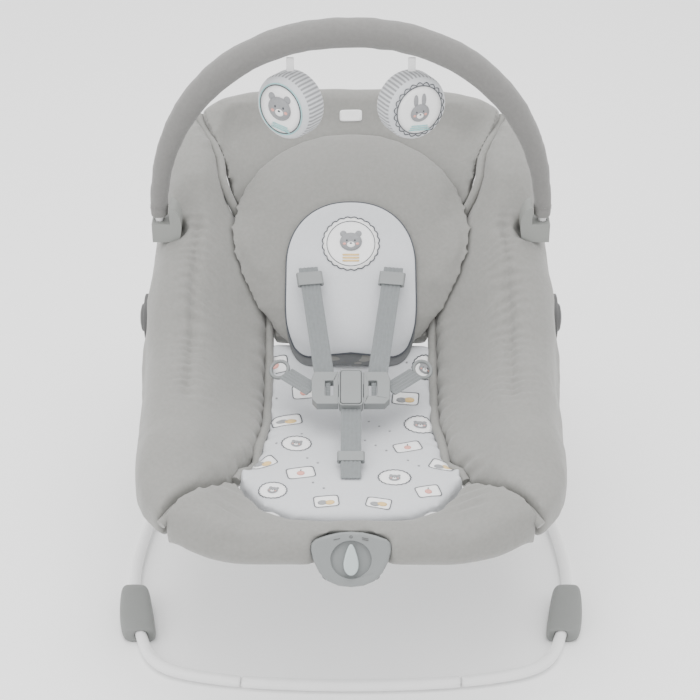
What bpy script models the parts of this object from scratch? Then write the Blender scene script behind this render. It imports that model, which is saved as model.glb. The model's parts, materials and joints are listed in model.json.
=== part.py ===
"""Baby bouncer seat: sprung tube base, padded bucket seat, toy arch, harness and vibration unit.

Metres, +Z up, the foot end towards -Y, +X to the right as seen from the foot end.
Side-view places are written as (back, up): the distance behind the front bar and the height.
"""
import math

import bmesh
import bpy
from mathutils import Vector

# ---------------------------------------------------------------- driving dimensions
GAP = 0.0005                      # clearance between touching pieces
FRONT_BAR_Y = -0.310773           # world Y of the base's front bar
BASE_TUBE_R = 0.0065
SEAT_TUBE_R = 0.0060
BAR_HALF = 0.1130                 # half length of the middle floor bar
BAR_BOW = 0.0060                  # how far the middle bar bows forward
RUNNER_UP = 0.0090                # height of the runner's centre
REAR_X = 0.2120                   # half width of the base at its rear bend
BEND_BACK = 0.6000                # centre of the rear bend, behind the bar
BEND_R = 0.0420                   # radius of the rear bend
FLEX = (0.5720, 0.0120)           # axis where the rear bend flexes
HUB = (0.3400, 0.2500)            # axis of the recline hubs
HUB_R = 0.0270
HUB_TUBE_X = 0.2000               # seat tubes run in this plane at the hub
RISER_HUB_X = 0.2210
HUB_BUTTON_X = 0.2359
PIN_R = 0.0049
PIN_BORE_R = 0.0053
PIN_HEAD_R = 0.0085

SEAT_UP = 0.1900                  # height of the flat sitting surface
RECLINE = math.radians(41.7)      # slope of the back
CREASE_R = 0.1500                 # radius between the seat and the back
CREASE_BACK = 0.2149              # where the flat seat ends
PAD = 0.0300                      # thickness of the padded cover
BACK_TOP = 0.6480                 # length along the seat from the bar to the back's top edge
SIDE_TOP = 0.6130                 # where the side bolsters end

ARCH_FOOT = (0.3690, 0.3570)      # where the arch sleeve ends
ARCH_LEAN = math.radians(5.0)     # the arch leans towards the feet
ARCH_HALF = 0.2130
ARCH_RISE = 0.2280
ARCH_POWER = 2.15                 # how square the arch's shoulders are

UNIT = (-0.0120, 0.1740)          # centre of the vibration unit's face
UNIT_TILT = math.radians(35.0)    # how far the face looks up
BUCKLE = (0.2075, 0.2335)
BUCKLE_TILT = math.radians(23.5)
TONGUE_X = 0.0283
TONGUE_EYE = (0.0046, 0.0098)     # half size of the opening for the waist strap
TONGUE_EYE_IN = 0.0050            # the opening sits this far towards the buckle
BUCKLE_HALF = (0.0130, 0.0235)
BUCKLE_FACE = 0.0070              # height of the buckle's rim above its middle plane
PLATE_FLOOR = 0.0030              # floor of the recess that the press plate sinks into
PLATE_TRAVEL = 0.0022

SIDES = (("left", -1), ("right", 1))


# ---------------------------------------------------------------- small tools
def clear_scene():
    for item in list(bpy.data.objects):
        bpy.data.objects.remove(item, do_unlink=True)


def material(name, colour, roughness, metallic=0.0):
    made = bpy.data.materials.new(name)
    made.use_nodes = True
    shader = made.node_tree.nodes["Principled BSDF"]
    shader.inputs["Base Color"].default_value = (*colour, 1.0)
    shader.inputs["Roughness"].default_value = roughness
    shader.inputs["Metallic"].default_value = metallic
    return made


def at(x, back, up):
    """World place of a point given across, behind the front bar, and up."""
    return Vector((x, back + FRONT_BAR_Y, up))


def mix(a, b, t):
    return a + (b - a) * t


def ease(t):
    t = min(max(t, 0.0), 1.0)
    return t * t * (3.0 - 2.0 * t)


def along(points, value):
    """Smooth value of a table of (place, value) pairs."""
    for (p0, v0), (p1, v1) in zip(points, points[1:]):
        if value <= p1:
            return mix(v0, v1, ease((value - p0) / (p1 - p0)))
    return points[-1][1]


def smooth_path(points, steps):
    """Catmull-Rom curve through the points, with a few steps between each pair."""
    padded = [points[0] * 2 - points[1]] + list(points) + [points[-1] * 2 - points[-2]]
    path = []
    for a, b, c, d in zip(padded, padded[1:], padded[2:], padded[3:]):
        for k in range(steps):
            t = k / steps
            path.append(0.5 * ((2 * b) + (c - a) * t + (2 * a - 5 * b + 4 * c - d) * t * t
                               + (3 * b - 3 * c + d - a) * t ** 3))
    path.append(points[-1].copy())
    return path


def frames(path):
    """Two cross directions for each point of a path, carried along without twist."""
    side = Vector((1, 0, 0))
    result = []
    for i in range(len(path)):
        ahead = (path[min(i + 1, len(path) - 1)] - path[max(i - 1, 0)]).normalized()
        if abs(ahead.dot(side)) > 0.98:
            side = Vector((0, 0, 1))
        side = (side - ahead * side.dot(ahead)).normalized()
        result.append((side, ahead.cross(side).normalized()))
    return result


def circles(path, radii, count):
    rings = []
    for point, (u, v), radius in zip(path, frames(path), radii):
        rings.append([point + (u * math.cos(a) + v * math.sin(a)) * radius
                      for a in (2 * math.pi * k / count for k in range(count))])
    return rings


def make_object(name, bm, mat, smooth=40.0):
    bmesh.ops.recalc_face_normals(bm, faces=bm.faces)
    mesh = bpy.data.meshes.new(name)
    bm.to_mesh(mesh)
    bm.free()
    mesh.shade_smooth()
    mesh.set_sharp_from_angle(angle=math.radians(smooth))
    mesh.materials.append(mat)
    item = bpy.data.objects.new(name, mesh)
    bpy.context.collection.objects.link(item)
    return item


def skin(bm, rings):
    """Quads between neighbouring rings of the same count."""
    for ring, after in zip(rings, rings[1:]):
        for k in range(len(ring)):
            n = (k + 1) % len(ring)
            bm.faces.new((ring[k], ring[n], after[n], after[k]))


def loft(name, rings, mat):
    """Closed solid through a row of rings, with flat ends."""
    bm = bmesh.new()
    made = [[bm.verts.new(p) for p in ring] for ring in rings]
    skin(bm, made)
    bm.faces.new(made[0])
    bm.faces.new(made[-1])
    return make_object(name, bm, mat)


def loft_bore(name, outer, inner, mat):
    """Solid through outer rings with a bore through inner rings of the same count."""
    bm = bmesh.new()
    rings = [[bm.verts.new(p) for p in ring] for ring in list(outer) + list(reversed(inner))]
    skin(bm, rings + [rings[0]])
    return make_object(name, bm, mat)


def tube(name, path, radius, count, mat):
    return loft(name, circles(path, [radius] * len(path), count), mat)


def turned_rings(start, axis, profile, count):
    """Circles about the axis; profile is (radius, distance along the axis)."""
    axis = axis.normalized()
    ref = Vector((0, 0, 1)) if abs(axis.z) < 0.9 else Vector((1, 0, 0))
    u = (ref - axis * ref.dot(axis)).normalized()
    v = axis.cross(u)
    return [[start + axis * place + (u * math.cos(a) + v * math.sin(a)) * radius
             for a in (2 * math.pi * k / count for k in range(count))]
            for radius, place in profile]


def turned(name, start, axis, profile, count, mat):
    """Solid of revolution with closed ends."""
    return loft(name, turned_rings(start, axis, profile, count), mat)


def turned_ring(name, start, axis, profile, count, mat):
    """Ring of revolution from a closed profile that never meets the axis."""
    bm = bmesh.new()
    rings = [[bm.verts.new(p) for p in ring] for ring in turned_rings(start, axis, profile, count)]
    skin(bm, rings + [rings[0]])
    return make_object(name, bm, mat)


def grid_solid(name, top, bottom, mat):
    """Closed solid between two grids of points with the same rows and columns."""
    bm = bmesh.new()
    rows, cols = len(top), len(top[0])
    up = [[bm.verts.new(p) for p in row] for row in top]
    low = [[bm.verts.new(p) for p in row] for row in bottom]
    for i in range(rows - 1):
        for j in range(cols - 1):
            bm.faces.new((up[i][j], up[i + 1][j], up[i + 1][j + 1], up[i][j + 1]))
            bm.faces.new((low[i][j], low[i][j + 1], low[i + 1][j + 1], low[i + 1][j]))
    rim = [(i, 0) for i in range(rows)] + [(rows - 1, j) for j in range(1, cols)]
    rim += [(i, cols - 1) for i in range(rows - 2, -1, -1)] + [(0, j) for j in range(cols - 2, 0, -1)]
    for (i, j), (k, l) in zip(rim, rim[1:] + rim[:1]):
        bm.faces.new((up[i][j], up[k][l], low[k][l], low[i][j]))
    return make_object(name, bm, mat, 50.0)


def prism(name, outline, place, u, v, n, low, high, mat):
    """Outline in the (u, v) plane at a place, extruded along n from low to high."""
    rings = [[place + u * x + v * y + n * level for x, y in outline] for level in (low, high)]
    return loft(name, rings, mat)


def soften(item, width):
    bevel = item.modifiers.new("soft edges", "BEVEL")
    bevel.width = width
    bevel.segments = 2
    bevel.limit_method = "ANGLE"
    bevel.angle_limit = math.radians(40)


def box_outline(half_x, half_y, corner=0.0):
    if not corner:
        return [(-half_x, -half_y), (half_x, -half_y), (half_x, half_y), (-half_x, half_y)]
    points, steps = [], 3
    for k, (sx, sy) in enumerate(((1, -1), (1, 1), (-1, 1), (-1, -1))):
        for s in range(steps + 1):
            a = math.radians(-90 + 90 * k + 90 * s / steps)
            points.append((sx * (half_x - corner) + corner * math.cos(a),
                           sy * (half_y - corner) + corner * math.sin(a)))
    return points


def cutter(item):
    item.hide_render = True
    item.display_type = "WIRE"
    return item


def cut(item, *tools):
    for tool in tools:
        boolean = item.modifiers.new("cut " + tool.name, "BOOLEAN")
        boolean.operation = "DIFFERENCE"
        boolean.solver = "EXACT"
        boolean.object = tool


def unite(item, other):
    boolean = item.modifiers.new("join " + other.name, "BOOLEAN")
    boolean.operation = "UNION"
    boolean.solver = "EXACT"
    boolean.object = other


def axis_empty(name, place, parent=None):
    empty = bpy.data.objects.new(name, None)
    empty.empty_display_size = 0.03
    empty.location = place
    bpy.context.collection.objects.link(empty)
    if parent:
        bpy.context.view_layer.update()
        empty.parent = parent
        empty.matrix_parent_inverse = parent.matrix_world.inverted()
    bpy.context.view_layer.update()
    return empty


def hang(empty, items):
    """Parent pieces to the empty on their joint's axis, where they stand."""
    bpy.context.view_layer.update()
    for item in items:
        item.parent = empty
        item.matrix_parent_inverse = empty.matrix_world.inverted()


# ---------------------------------------------------------------- the sitting surface
def centre_line(s):
    """(back, up) of the sitting surface at a length s from the bar, and its slope."""
    arc_end = CREASE_BACK + CREASE_R * RECLINE
    if s <= CREASE_BACK:
        return s, SEAT_UP, 0.0
    slope = min((s - CREASE_BACK) / CREASE_R, RECLINE)
    back = CREASE_BACK + CREASE_R * math.sin(slope)
    up = SEAT_UP + CREASE_R * (1 - math.cos(slope))
    rest = max(s - arc_end, 0.0)
    return back + rest * math.cos(slope), up + rest * math.sin(slope), slope


def lifted(x, s, offset):
    """Point at x, length s, lifted by offset at right angles to the centre line."""
    back, up, slope = centre_line(s)
    return at(x, back - math.sin(slope) * offset, up + math.cos(slope) * offset)


CORNER_START = 0.090
CORNER_X = 0.132
CORNER_S = 0.120
NOSE = -0.013


def front_edge(x):
    """Length s of the foot end's edge at x: straight, with round corners."""
    t = min(max((abs(x) - CORNER_START) / CORNER_X, 0.0), 1.0)
    return NOSE + CORNER_S * (1 - math.sqrt(1 - t * t))


def half_width(s):
    if s < NOSE + CORNER_S:
        t = (NOSE + CORNER_S - s) / CORNER_S
        return CORNER_START + CORNER_X * math.sqrt(max(1 - t * t, 0.0))
    return along([(0.107, 0.222), (0.350, 0.231), (0.450, 0.218), (0.540, 0.211),
                  (0.590, 0.200), (0.625, 0.182)], s)


def seam(s):
    """Half width of the middle panels."""
    return along([(0.105, 0.120), (0.150, 0.100), (0.220, 0.092), (0.400, 0.092),
                  (0.529, 0.149), (0.613, 0.178), (0.648, 0.178)], s)


def hollow(s):
    """Half width of the flat middle, where the bolsters begin to rise."""
    return along([(0.105, 0.108), (0.150, 0.090), (0.220, 0.083), (0.400, 0.083),
                  (0.529, 0.126), (0.613, 0.155), (0.648, 0.158)], s)


def bolster(s):
    """Height of the side bolster's crest above the sitting surface."""
    return along([(-0.013, 0.004), (0.060, 0.026), (0.130, 0.048), (0.250, 0.072),
                  (0.380, 0.070), (0.500, 0.052), (0.613, 0.020), (0.648, 0.006)], s)


def rise(x, s):
    """Height of the cover's top face above the centre line."""
    inner, outer = hollow(s), half_width(s)
    crest = outer - 0.038
    if abs(x) <= crest:
        return bolster(s) * ease((abs(x) - inner) / (crest - inner))
    t = min((abs(x) - crest) / (outer - crest), 1.0)
    return bolster(s) * (0.35 + 0.65 * math.sqrt(1 - t * t))


def rim_lift(x, s):
    """How far the cover's underside pulls up near its outer rim."""
    t = min(max((abs(x) - half_width(s) + 0.022) / 0.022, 0.0), 1.0)
    return 0.014 * (1 - math.sqrt(1 - t * t))


# ---------------------------------------------------------------- materials
def make_materials():
    return {
        "tube": material("white_tube", (0.84, 0.84, 0.83), 0.35),
        "steel": material("steel", (0.60, 0.60, 0.60), 0.30, 1.0),
        "grey": material("grey_plastic", (0.38, 0.39, 0.38), 0.50),
        "rubber": material("grey_rubber", (0.34, 0.35, 0.34), 0.60),
        "dark": material("dark_plastic", (0.12, 0.12, 0.12), 0.50),
        "pale": material("pale_plastic", (0.45, 0.47, 0.44), 0.45),
        "knob": material("knob_plastic", (0.57, 0.63, 0.63), 0.35),
        "cover": material("cover_fabric", (0.41, 0.41, 0.38), 0.90),
        "sleeve": material("sleeve_fabric", (0.30, 0.29, 0.28), 0.90),
        "print": material("print_fabric", (0.72, 0.74, 0.76), 0.90),
        "web": material("webbing", (0.35, 0.37, 0.37), 0.85),
        "toy": material("toy_plush", (0.70, 0.72, 0.74), 0.90),
        "white": material("white_plastic", (0.80, 0.80, 0.80), 0.40),
        "board": material("circuit_board", (0.05, 0.20, 0.08), 0.50),
        "cell": material("battery_case", (0.10, 0.10, 0.12), 0.40),
    }


# ---------------------------------------------------------------- base
def runner_path(side):
    places = [(BAR_HALF + GAP, 0.0, 0.0080), (0.157, 0.008, 0.0080), (0.190, 0.019, 0.0082),
              (0.209, 0.036, 0.0085), (0.220, 0.060, RUNNER_UP), (0.228, 0.090, RUNNER_UP),
              (0.234, 0.124, RUNNER_UP), (0.240, 0.164, RUNNER_UP), (0.2405, 0.210, RUNNER_UP),
              (0.235, 0.270, RUNNER_UP), (0.223, 0.350, RUNNER_UP), (0.215, 0.440, RUNNER_UP),
              (REAR_X, 0.510, RUNNER_UP), (REAR_X, 0.5715, RUNNER_UP + 0.0004)]
    return smooth_path([at(side * x, back, up) for x, back, up in places], 2)


def front_tubes(mats):
    steps = 10
    path = []
    for k in range(steps + 1):
        x = mix(-BAR_HALF, BAR_HALF, k / steps)
        path.append(at(x, -BAR_BOW * (1 - (x / BAR_HALF) ** 2), 0.0080))
    tube("base_front_tube", path, BASE_TUBE_R, 12, mats["tube"])
    for word, side in SIDES:
        tube("base_runner_" + word, runner_path(side), BASE_TUBE_R, 10, mats["tube"])


FOOT_SIDES = 16


def foot_ring(centre, half_wide, high):
    """Rounded block section standing on the floor, with a flat base."""
    points = []
    for k in range(FOOT_SIDES):
        a = 2 * math.pi * (k + 0.5) / FOOT_SIDES
        c, s = math.cos(a), math.sin(a)
        x = half_wide * math.copysign(abs(c) ** 0.45, c)
        z = high * (0.5 + 0.5 * math.copysign(min(abs(s) / 0.98, 1.0) ** 0.5, s))
        points.append(centre + Vector((x, 0, z)))
    return points


def circle_ring(centre, radius):
    return [centre + Vector((math.cos(a) * radius, 0, math.sin(a) * radius))
            for a in (2 * math.pi * (k + 0.5) / FOOT_SIDES for k in range(FOOT_SIDES))]


def runner_x(path, back):
    """Centre of the runner at a distance behind the bar."""
    world = back + FRONT_BAR_Y
    for a, b in zip(path, path[1:]):
        if a.y <= world <= b.y:
            return a.lerp(b, (world - a.y) / (b.y - a.y))
    return path[-1]


def front_feet(mats):
    """Rubber feet moulded round the runners."""
    sections = [(0.0730, 0.0150, 0.0165, 0.0015), (0.0760, 0.0180, 0.0185, 0.0015),
                (0.0900, 0.0190, 0.0205, 0.0015), (0.1150, 0.0180, 0.0240, 0.0010),
                (0.1370, 0.0160, 0.0255, 0.0), (0.1450, 0.0135, 0.0235, 0.0),
                (0.1490, 0.0105, 0.0185, 0.0)]
    for word, side in SIDES:
        path = runner_path(side)
        outer, inner = [], []
        for back, half_wide, high, shift in sections:
            centre = runner_x(path, back)
            outer.append(foot_ring(Vector((centre.x + side * shift, centre.y, 0)), half_wide, high))
            inner.append(circle_ring(centre, BASE_TUBE_R + GAP))
        loft_bore("front_foot_" + word, outer, inner, mats["rubber"])


def rear_feet(mats):
    """Rear blocks that join each runner to its riser and let the bend flex."""
    sections = [(0.5280, 0.0105, 0.0180), (0.5320, 0.0150, 0.0215), (0.5450, 0.0170, 0.0245),
                (0.5722, 0.0178, 0.0252), (0.5734, 0.0178, 0.0252), (0.5920, 0.0160, 0.0245),
                (0.5960, 0.0130, 0.0225)]
    for word, side in SIDES:
        outer, inner = [], []
        for back, half_wide, high in sections:
            behind = back > FLEX[0] + 0.0010
            centre = at(side * REAR_X, back, FLEX[1] if behind else RUNNER_UP + 0.0002)
            room = 0.0012 + (back - FLEX[0]) * 0.05 if behind else 0.0007
            outer.append(foot_ring(at(side * REAR_X, back, 0), half_wide, high))
            inner.append(circle_ring(centre, BASE_TUBE_R + room))
        loft_bore("rear_foot_" + word, outer, inner, mats["rubber"])


def riser_path(side):
    """From the rear block round the rear bend and forward up to the hub."""
    reach = (HUB[0] - BEND_BACK, HUB[1] - (FLEX[1] + BEND_R))
    far = math.hypot(*reach)
    turn = math.pi - (math.acos(BEND_R / far) - math.atan2(-reach[0], reach[1]))
    path = [at(side * REAR_X, FLEX[0] + 0.0020, FLEX[1]), at(side * REAR_X, 0.586, FLEX[1])]
    steps = 12
    for k in range(steps + 1):
        a = turn * k / steps
        path.append(at(side * REAR_X, BEND_BACK + BEND_R * math.sin(a),
                       FLEX[1] + BEND_R - BEND_R * math.cos(a)))
    last = path[-1]
    end = at(side * RISER_HUB_X, *HUB)
    away = (last - end).normalized()
    end = end + away * 0.0080
    path += [last.lerp(end, t) for t in (0.33, 0.66, 1.0)]
    return path


def risers(mats):
    return [tube("riser_tube_" + word, riser_path(side), BASE_TUBE_R, 12, mats["tube"])
            for word, side in SIDES]


# ---------------------------------------------------------------- seat frame and hubs
def back_tube_path():
    half = [lifted(HUB_TUBE_X, s, up) for s, up in
            ((0.3700, 0.0), (0.3900, -0.0050), (0.4150, -0.0120), (0.4500, -0.0150))]
    half += [lifted(half_width(s) - inset, s, -0.0150) for s, inset in
             ((0.500, 0.019), (0.550, 0.021), (0.585, 0.026))]
    half += [lifted(x, s, -0.0150) for x, s in ((0.146, 0.6120), (0.110, 0.6240), (0.050, 0.6290),
                                                (0.0, 0.6300))]
    whole = half + [Vector((-p.x, p.y, p.z)) for p in reversed(half[:-1])]
    return smooth_path(whole, 2)


def seat_tube_path():
    half = [lifted(HUB_TUBE_X, s, up) for s, up in
            ((0.3440, 0.0010), (0.3250, -0.0050), (0.3000, -0.0120), (0.2600, -0.0150),
             (0.2000, -0.0150), (0.1500, -0.0150))]
    half += [lifted(x, s, -0.0150) for x, s in ((0.193, 0.105), (0.170, 0.074), (0.135, 0.060),
                                                (0.070, 0.056), (0.0, 0.055))]
    whole = half + [Vector((-p.x, p.y, p.z)) for p in reversed(half[:-1])]
    return smooth_path(whole, 2)


def seat_frame(mats):
    """Two bent tubes whose ends plug into the hubs, and a matching cutter for their channels."""
    pieces, channels = [], []
    for name, path in (("back_frame_tube", back_tube_path()), ("seat_frame_tube", seat_tube_path())):
        pieces.append(tube(name, path, SEAT_TUBE_R, 10, mats["tube"]))
        channels.append(cutter(tube(name + "_channel", path, SEAT_TUBE_R + 0.0014, 8, mats["tube"])))
    return pieces, channels


def hub_sockets(item, word, side, mats):
    """Blind bores in the hub's rim for the two seat tubes."""
    for name, path in (("back", back_tube_path()), ("seat", seat_tube_path())):
        ends = (path[0], path[1]) if side > 0 else (path[-1], path[-2])
        way = (ends[1] - ends[0]).normalized()
        start = ends[0] - way * 0.0010
        tool = turned("hub_socket_%s_%s" % (name, word), start, way,
                      [(SEAT_TUBE_R + GAP, 0.0), (SEAT_TUBE_R + GAP, 0.0400)], 12, mats["steel"])
        cut(item, cutter(tool))


def hubs(mats):
    seat_side, base_side, buttons = [], [], []
    for word, side in SIDES:
        out = Vector((side, 0, 0))
        centre = at(0, *HUB)
        inner = turned_ring("hub_inner_" + word, centre, out,
                            [(PIN_BORE_R, 0.1905), (HUB_R - 0.002, 0.1905), (HUB_R, 0.1925),
                             (HUB_R, 0.2085), (HUB_R - 0.001, 0.2095), (PIN_BORE_R, 0.2095)],
                            32, mats["grey"])
        hub_sockets(inner, word, side, mats)
        outer = turned("hub_outer_" + word, centre, out,
                       [(HUB_R - 0.001, 0.2105), (HUB_R, 0.2115), (HUB_R, 0.2305),
                        (HUB_R - 0.001, 0.2312)], 32, mats["dark"])
        pin_bore = cutter(turned("pin_bore_" + word, centre, out,
                                 [(PIN_BORE_R, 0.2080), (PIN_BORE_R, 0.2284)], 20, mats["steel"]))
        riser = riser_path(side)
        way = (riser[-1] - riser[-2]).normalized()
        riser_bore = cutter(turned("riser_bore_" + word, riser[-1] + way * 0.0010, -way,
                                   [(BASE_TUBE_R + GAP, 0.0), (BASE_TUBE_R + GAP, 0.0450)],
                                   16, mats["steel"]))
        cut(outer, pin_bore, riser_bore)
        pin = turned("hub_pin_" + word, centre, out,
                     [(0.0070, 0.1850), (PIN_HEAD_R, 0.1862), (PIN_HEAD_R, 0.1900), (PIN_R, 0.1900),
                      (PIN_R, 0.2275), (0.0042, 0.2281)], 20, mats["steel"])
        cap = turned_ring("hub_cap_" + word, centre, out,
                          [(0.0107, 0.2317), (0.0160, 0.2317), (0.0160, 0.2335), (0.0150, 0.2350),
                           (0.0134, 0.2357), (0.0117, 0.2359), (0.0107, 0.2352)], 32, mats["dark"])
        button = turned("hub_button_" + word, centre, out,
                        [(0.0102, 0.2347), (0.0102, 0.2362), (0.0088, 0.2368), (0.0040, 0.2371)],
                        24, mats["grey"])
        seat_side.append(inner)
        base_side += [outer, pin, cap]
        buttons.append(button)
    return seat_side, base_side, buttons


# ---------------------------------------------------------------- soft panels
SPLIT_X = 0.120                   # corner where seat pad, front panel and bolster meet
SPLIT_S = 0.105
SPLIT_OUT_X = 0.1900              # where the corner seam meets the outer edge
SEAM_GAP = 0.0025                 # room at a long curved seam between two panels
SEAM_BEND = 0.0500                # the seam bends in behind the corner over this length
SEAM_BEND_ROOM = 0.0034           # straight rows of two panels cut that bend differently


def pad_front(x):
    """Front edge of the seat pad."""
    return 0.036 + 0.069 * min(abs(x) / SPLIT_X, 1.0) ** 4


def front_limit(x):
    """Where the front panel ends: the seat pad's edge, then the corner seam."""
    if abs(x) <= SPLIT_X:
        return pad_front(x)
    t = (abs(x) - SPLIT_X) / (SPLIT_OUT_X - SPLIT_X)
    return mix(SPLIT_S, front_edge(SPLIT_OUT_X), t)


def front_panel(mats):
    cols, rows, roll = 27, 4, 4
    radius = 0.022
    top, low = [], []
    for i in range(rows + roll):
        top_row, low_row = [], []
        for j in range(cols):
            x = (SPLIT_OUT_X - 0.003) * math.sin(math.pi / 2 * (2.0 * j / (cols - 1) - 1.0))
            edge, limit = front_edge(x), front_limit(x) - GAP
            room = min(radius, (limit - edge) * 0.8)
            if i < rows:
                s = mix(limit, edge + room, i / (rows - 1))
                high = rise(x, s) + 0.004 * ease((0.05 - s) / 0.05)
                deep = mix(PAD, 0.040, ease((0.06 - s) / 0.06)) - 0.004
            else:
                a = (i - rows + 1) / roll * math.pi / 2 * 0.98
                s = edge + room * (1 - math.sin(a))
                middle = -0.016
                flat = edge + room
                high = middle + (rise(x, flat) + 0.004 * ease((0.05 - flat) / 0.05) - middle) * math.cos(a)
                base_deep = mix(PAD, 0.040, ease((0.06 - flat) / 0.06)) - 0.004
                deep = -(middle - (base_deep + middle) * math.cos(a))
            top_row.append(lifted(x, s, high))
            low_row.append(lifted(x, s, -deep))
        top.append(top_row)
        low.append(low_row)
    return grid_solid("cover_front", top, low, mats["cover"])


def seat_pad(mats):
    rows, cols = 14, 9
    top, low = [], []
    for i in range(rows):
        top_row, low_row = [], []
        for j in range(cols):
            u = 2.0 * j / (cols - 1) - 1.0
            start = pad_front(u * SPLIT_X) + GAP
            s = mix(start, 0.3295, i / (rows - 1))
            x = u * (seam(s) - GAP)
            top_row.append(lifted(x, s, rise(x, s)))
            low_row.append(lifted(x, s, -PAD))
        top.append(top_row)
        low.append(low_row)
    return grid_solid("seat_pad", top, low, mats["print"])


def back_panel(mats):
    rows, roll, cols = 9, 3, 13
    top, low = [], []
    for i in range(rows + roll):
        top_row, low_row = [], []
        for j in range(cols):
            u = math.sin(math.pi / 2 * (2.0 * j / (cols - 1) - 1.0))
            crown = BACK_TOP - 0.032 * abs(u) ** 5
            flat = crown - 0.015
            if i < rows:
                s = mix(0.3305, flat, i / (rows - 1))
                x = u * (seam(s) - SEAM_GAP)
                high, deep = rise(x, s), -PAD
            else:
                a = (i - rows + 1) / roll * math.pi / 2 * 0.97
                s = flat + 0.015 * math.sin(a)
                x = u * (seam(s) - SEAM_GAP)
                edge_high = rise(x, flat)
                middle = (edge_high - PAD) / 2
                high = middle + (edge_high - middle) * math.cos(a)
                deep = middle - (middle + PAD) * math.cos(a)
            top_row.append(lifted(x, s, high))
            low_row.append(lifted(x, s, deep))
        top.append(top_row)
        low.append(low_row)
    return grid_solid("cover_back", top, low, mats["cover"])


def side_bolster(word, side, mats):
    """Its front rows fan out from the corner seam, so its rim keeps to the cover's outline."""
    rows, cols = 22, 8
    seam_deep = SPLIT_S - front_edge(SPLIT_OUT_X)
    top, low = [], []
    for i in range(rows):
        t = i / (rows - 1)
        top_row, low_row = [], []
        for j in range(cols):
            w = math.sin(math.pi / 2 * j / (cols - 1))
            place = mix(SPLIT_S - seam_deep * w + 2 * GAP, SIDE_TOP, t)
            along_seam = min(max((SPLIT_S + 2 * GAP - place) / seam_deep, 0.0), 1.0)
            bend = math.sin(math.pi * min(max((place - SPLIT_S) / SEAM_BEND, 0.0), 1.0))
            inner = mix(seam(place), SPLIT_OUT_X, along_seam) + GAP + SEAM_BEND_ROOM * bend
            share = (w - along_seam) / (1 - along_seam) if along_seam < 0.999 else 1.0
            x = min(mix(inner, half_width(place), max(share, 0.0)), half_width(place))
            taper = ease((SIDE_TOP - place) / 0.020) * 0.6 + 0.4
            high, deep = rise(x, place), -PAD + rim_lift(x, place)
            middle = (high + deep) / 2
            top_row.append(lifted(side * x, place, middle + (high - middle) * taper))
            low_row.append(lifted(side * x, place, middle + (deep - middle) * taper))
        top.append(top_row)
        low.append(low_row)
    return grid_solid("cover_side_" + word, top, low, mats["cover"])


CUSHION_S = 0.455                 # widest line of the body cushion
CUSHION_HALF = 0.140
CUSHION_UP = 0.130
CUSHION_DOWN = 0.165
CUSHION_THICK = 0.028


def cushion_outline(a):
    """Egg outline of the body cushion: x and s from its widest line."""
    c, s = math.cos(a), math.sin(a)
    if s >= 0:
        return CUSHION_HALF * math.copysign(abs(c) ** 0.95, c), CUSHION_UP * abs(s) ** 0.95
    return CUSHION_HALF * math.copysign(abs(c) ** 1.1, c), -CUSHION_DOWN * abs(s) ** 1.1


def cushion_radius(x, s):
    """0 at the cushion's middle and 1 on its outline."""
    up = (s - CUSHION_S) / (CUSHION_UP if s >= CUSHION_S else CUSHION_DOWN)
    power = 2.1 if s >= CUSHION_S else 1.82
    return (abs(x / CUSHION_HALF) ** power + abs(up) ** power) ** (1 / power)


def cushion_top(x, s):
    r = min(cushion_radius(x, s), 0.999)
    return rise(x, s) * 0.9 + 0.002 + CUSHION_THICK * (1 - r ** 5) ** 0.5


def dome(name, outline, centre_s, rings, count, high, low, mat):
    """Pad on the sitting surface from nested copies of its outline."""
    bm = bmesh.new()
    sheets = []
    for level in (high, low):
        sheet = []
        for k in range(1, rings + 1):
            r = math.sin(math.pi / 2 * k / rings)
            ring = []
            for c in range(count):
                x, s = outline(2 * math.pi * c / count)
                x, s = x * r, centre_s + s * r
                ring.append(bm.verts.new(lifted(x, s, level(x, s))))
            sheet.append(ring)
        middle = bm.verts.new(lifted(0, centre_s, level(0, centre_s)))
        for c in range(count):
            bm.faces.new((middle, sheet[0][c], sheet[0][(c + 1) % count]))
        skin(bm, sheet)
        sheets.append(sheet)
    skin(bm, [sheets[0][-1], sheets[1][-1]])
    return make_object(name, bm, mat, 60.0)


def body_cushion(mats):
    def low(x, s):
        return rise(x, s) + 0.0020 + 0.0045 * ease((abs(x) - 0.080) / 0.020)

    def high(x, s):
        return max(cushion_top(x, s), low(x, s) + 0.0030)

    return dome("body_cushion", cushion_outline, CUSHION_S, 6, 28, high, low, mats["cover"])


PANEL_S = 0.405                   # centre of the pale panel's round head
PANEL_HALF = 0.072
PANEL_HEAD = 0.078
PANEL_FOOT = 0.105


def panel_outline(a):
    """Tombstone outline of the pale head panel, a little wider at its foot."""
    c, s = math.cos(a), math.sin(a)
    if s >= 0:
        return PANEL_HALF * math.copysign(abs(c) ** 0.9, c), PANEL_HEAD * abs(s) ** 0.9
    wide = PANEL_HALF + 0.002 * min(-s * 2, 1.0)
    return wide * math.copysign(abs(c) ** 0.50, c), -PANEL_FOOT * abs(s) ** 0.62


def head_panel(mats):
    def low(x, s):
        return max(cushion_top(x, s), rise(x, s) + 0.0050) + 0.0022

    def high(x, s):
        r = math.hypot(x / PANEL_HALF, (s - PANEL_S) / (PANEL_HEAD if s > PANEL_S else PANEL_FOOT))
        return low(x, s) + 0.0035 + 0.0035 * max(1 - r ** 4, 0.0)

    return dome("head_panel", panel_outline, PANEL_S, 5, 24, high, low, mats["print"])


# ---------------------------------------------------------------- harness
def buckle_axes():
    up = Vector((0, math.cos(BUCKLE_TILT), math.sin(BUCKLE_TILT)))
    out = Vector((0, -math.sin(BUCKLE_TILT), math.cos(BUCKLE_TILT)))
    return at(0, *BUCKLE), Vector((1, 0, 0)), up, out


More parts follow.
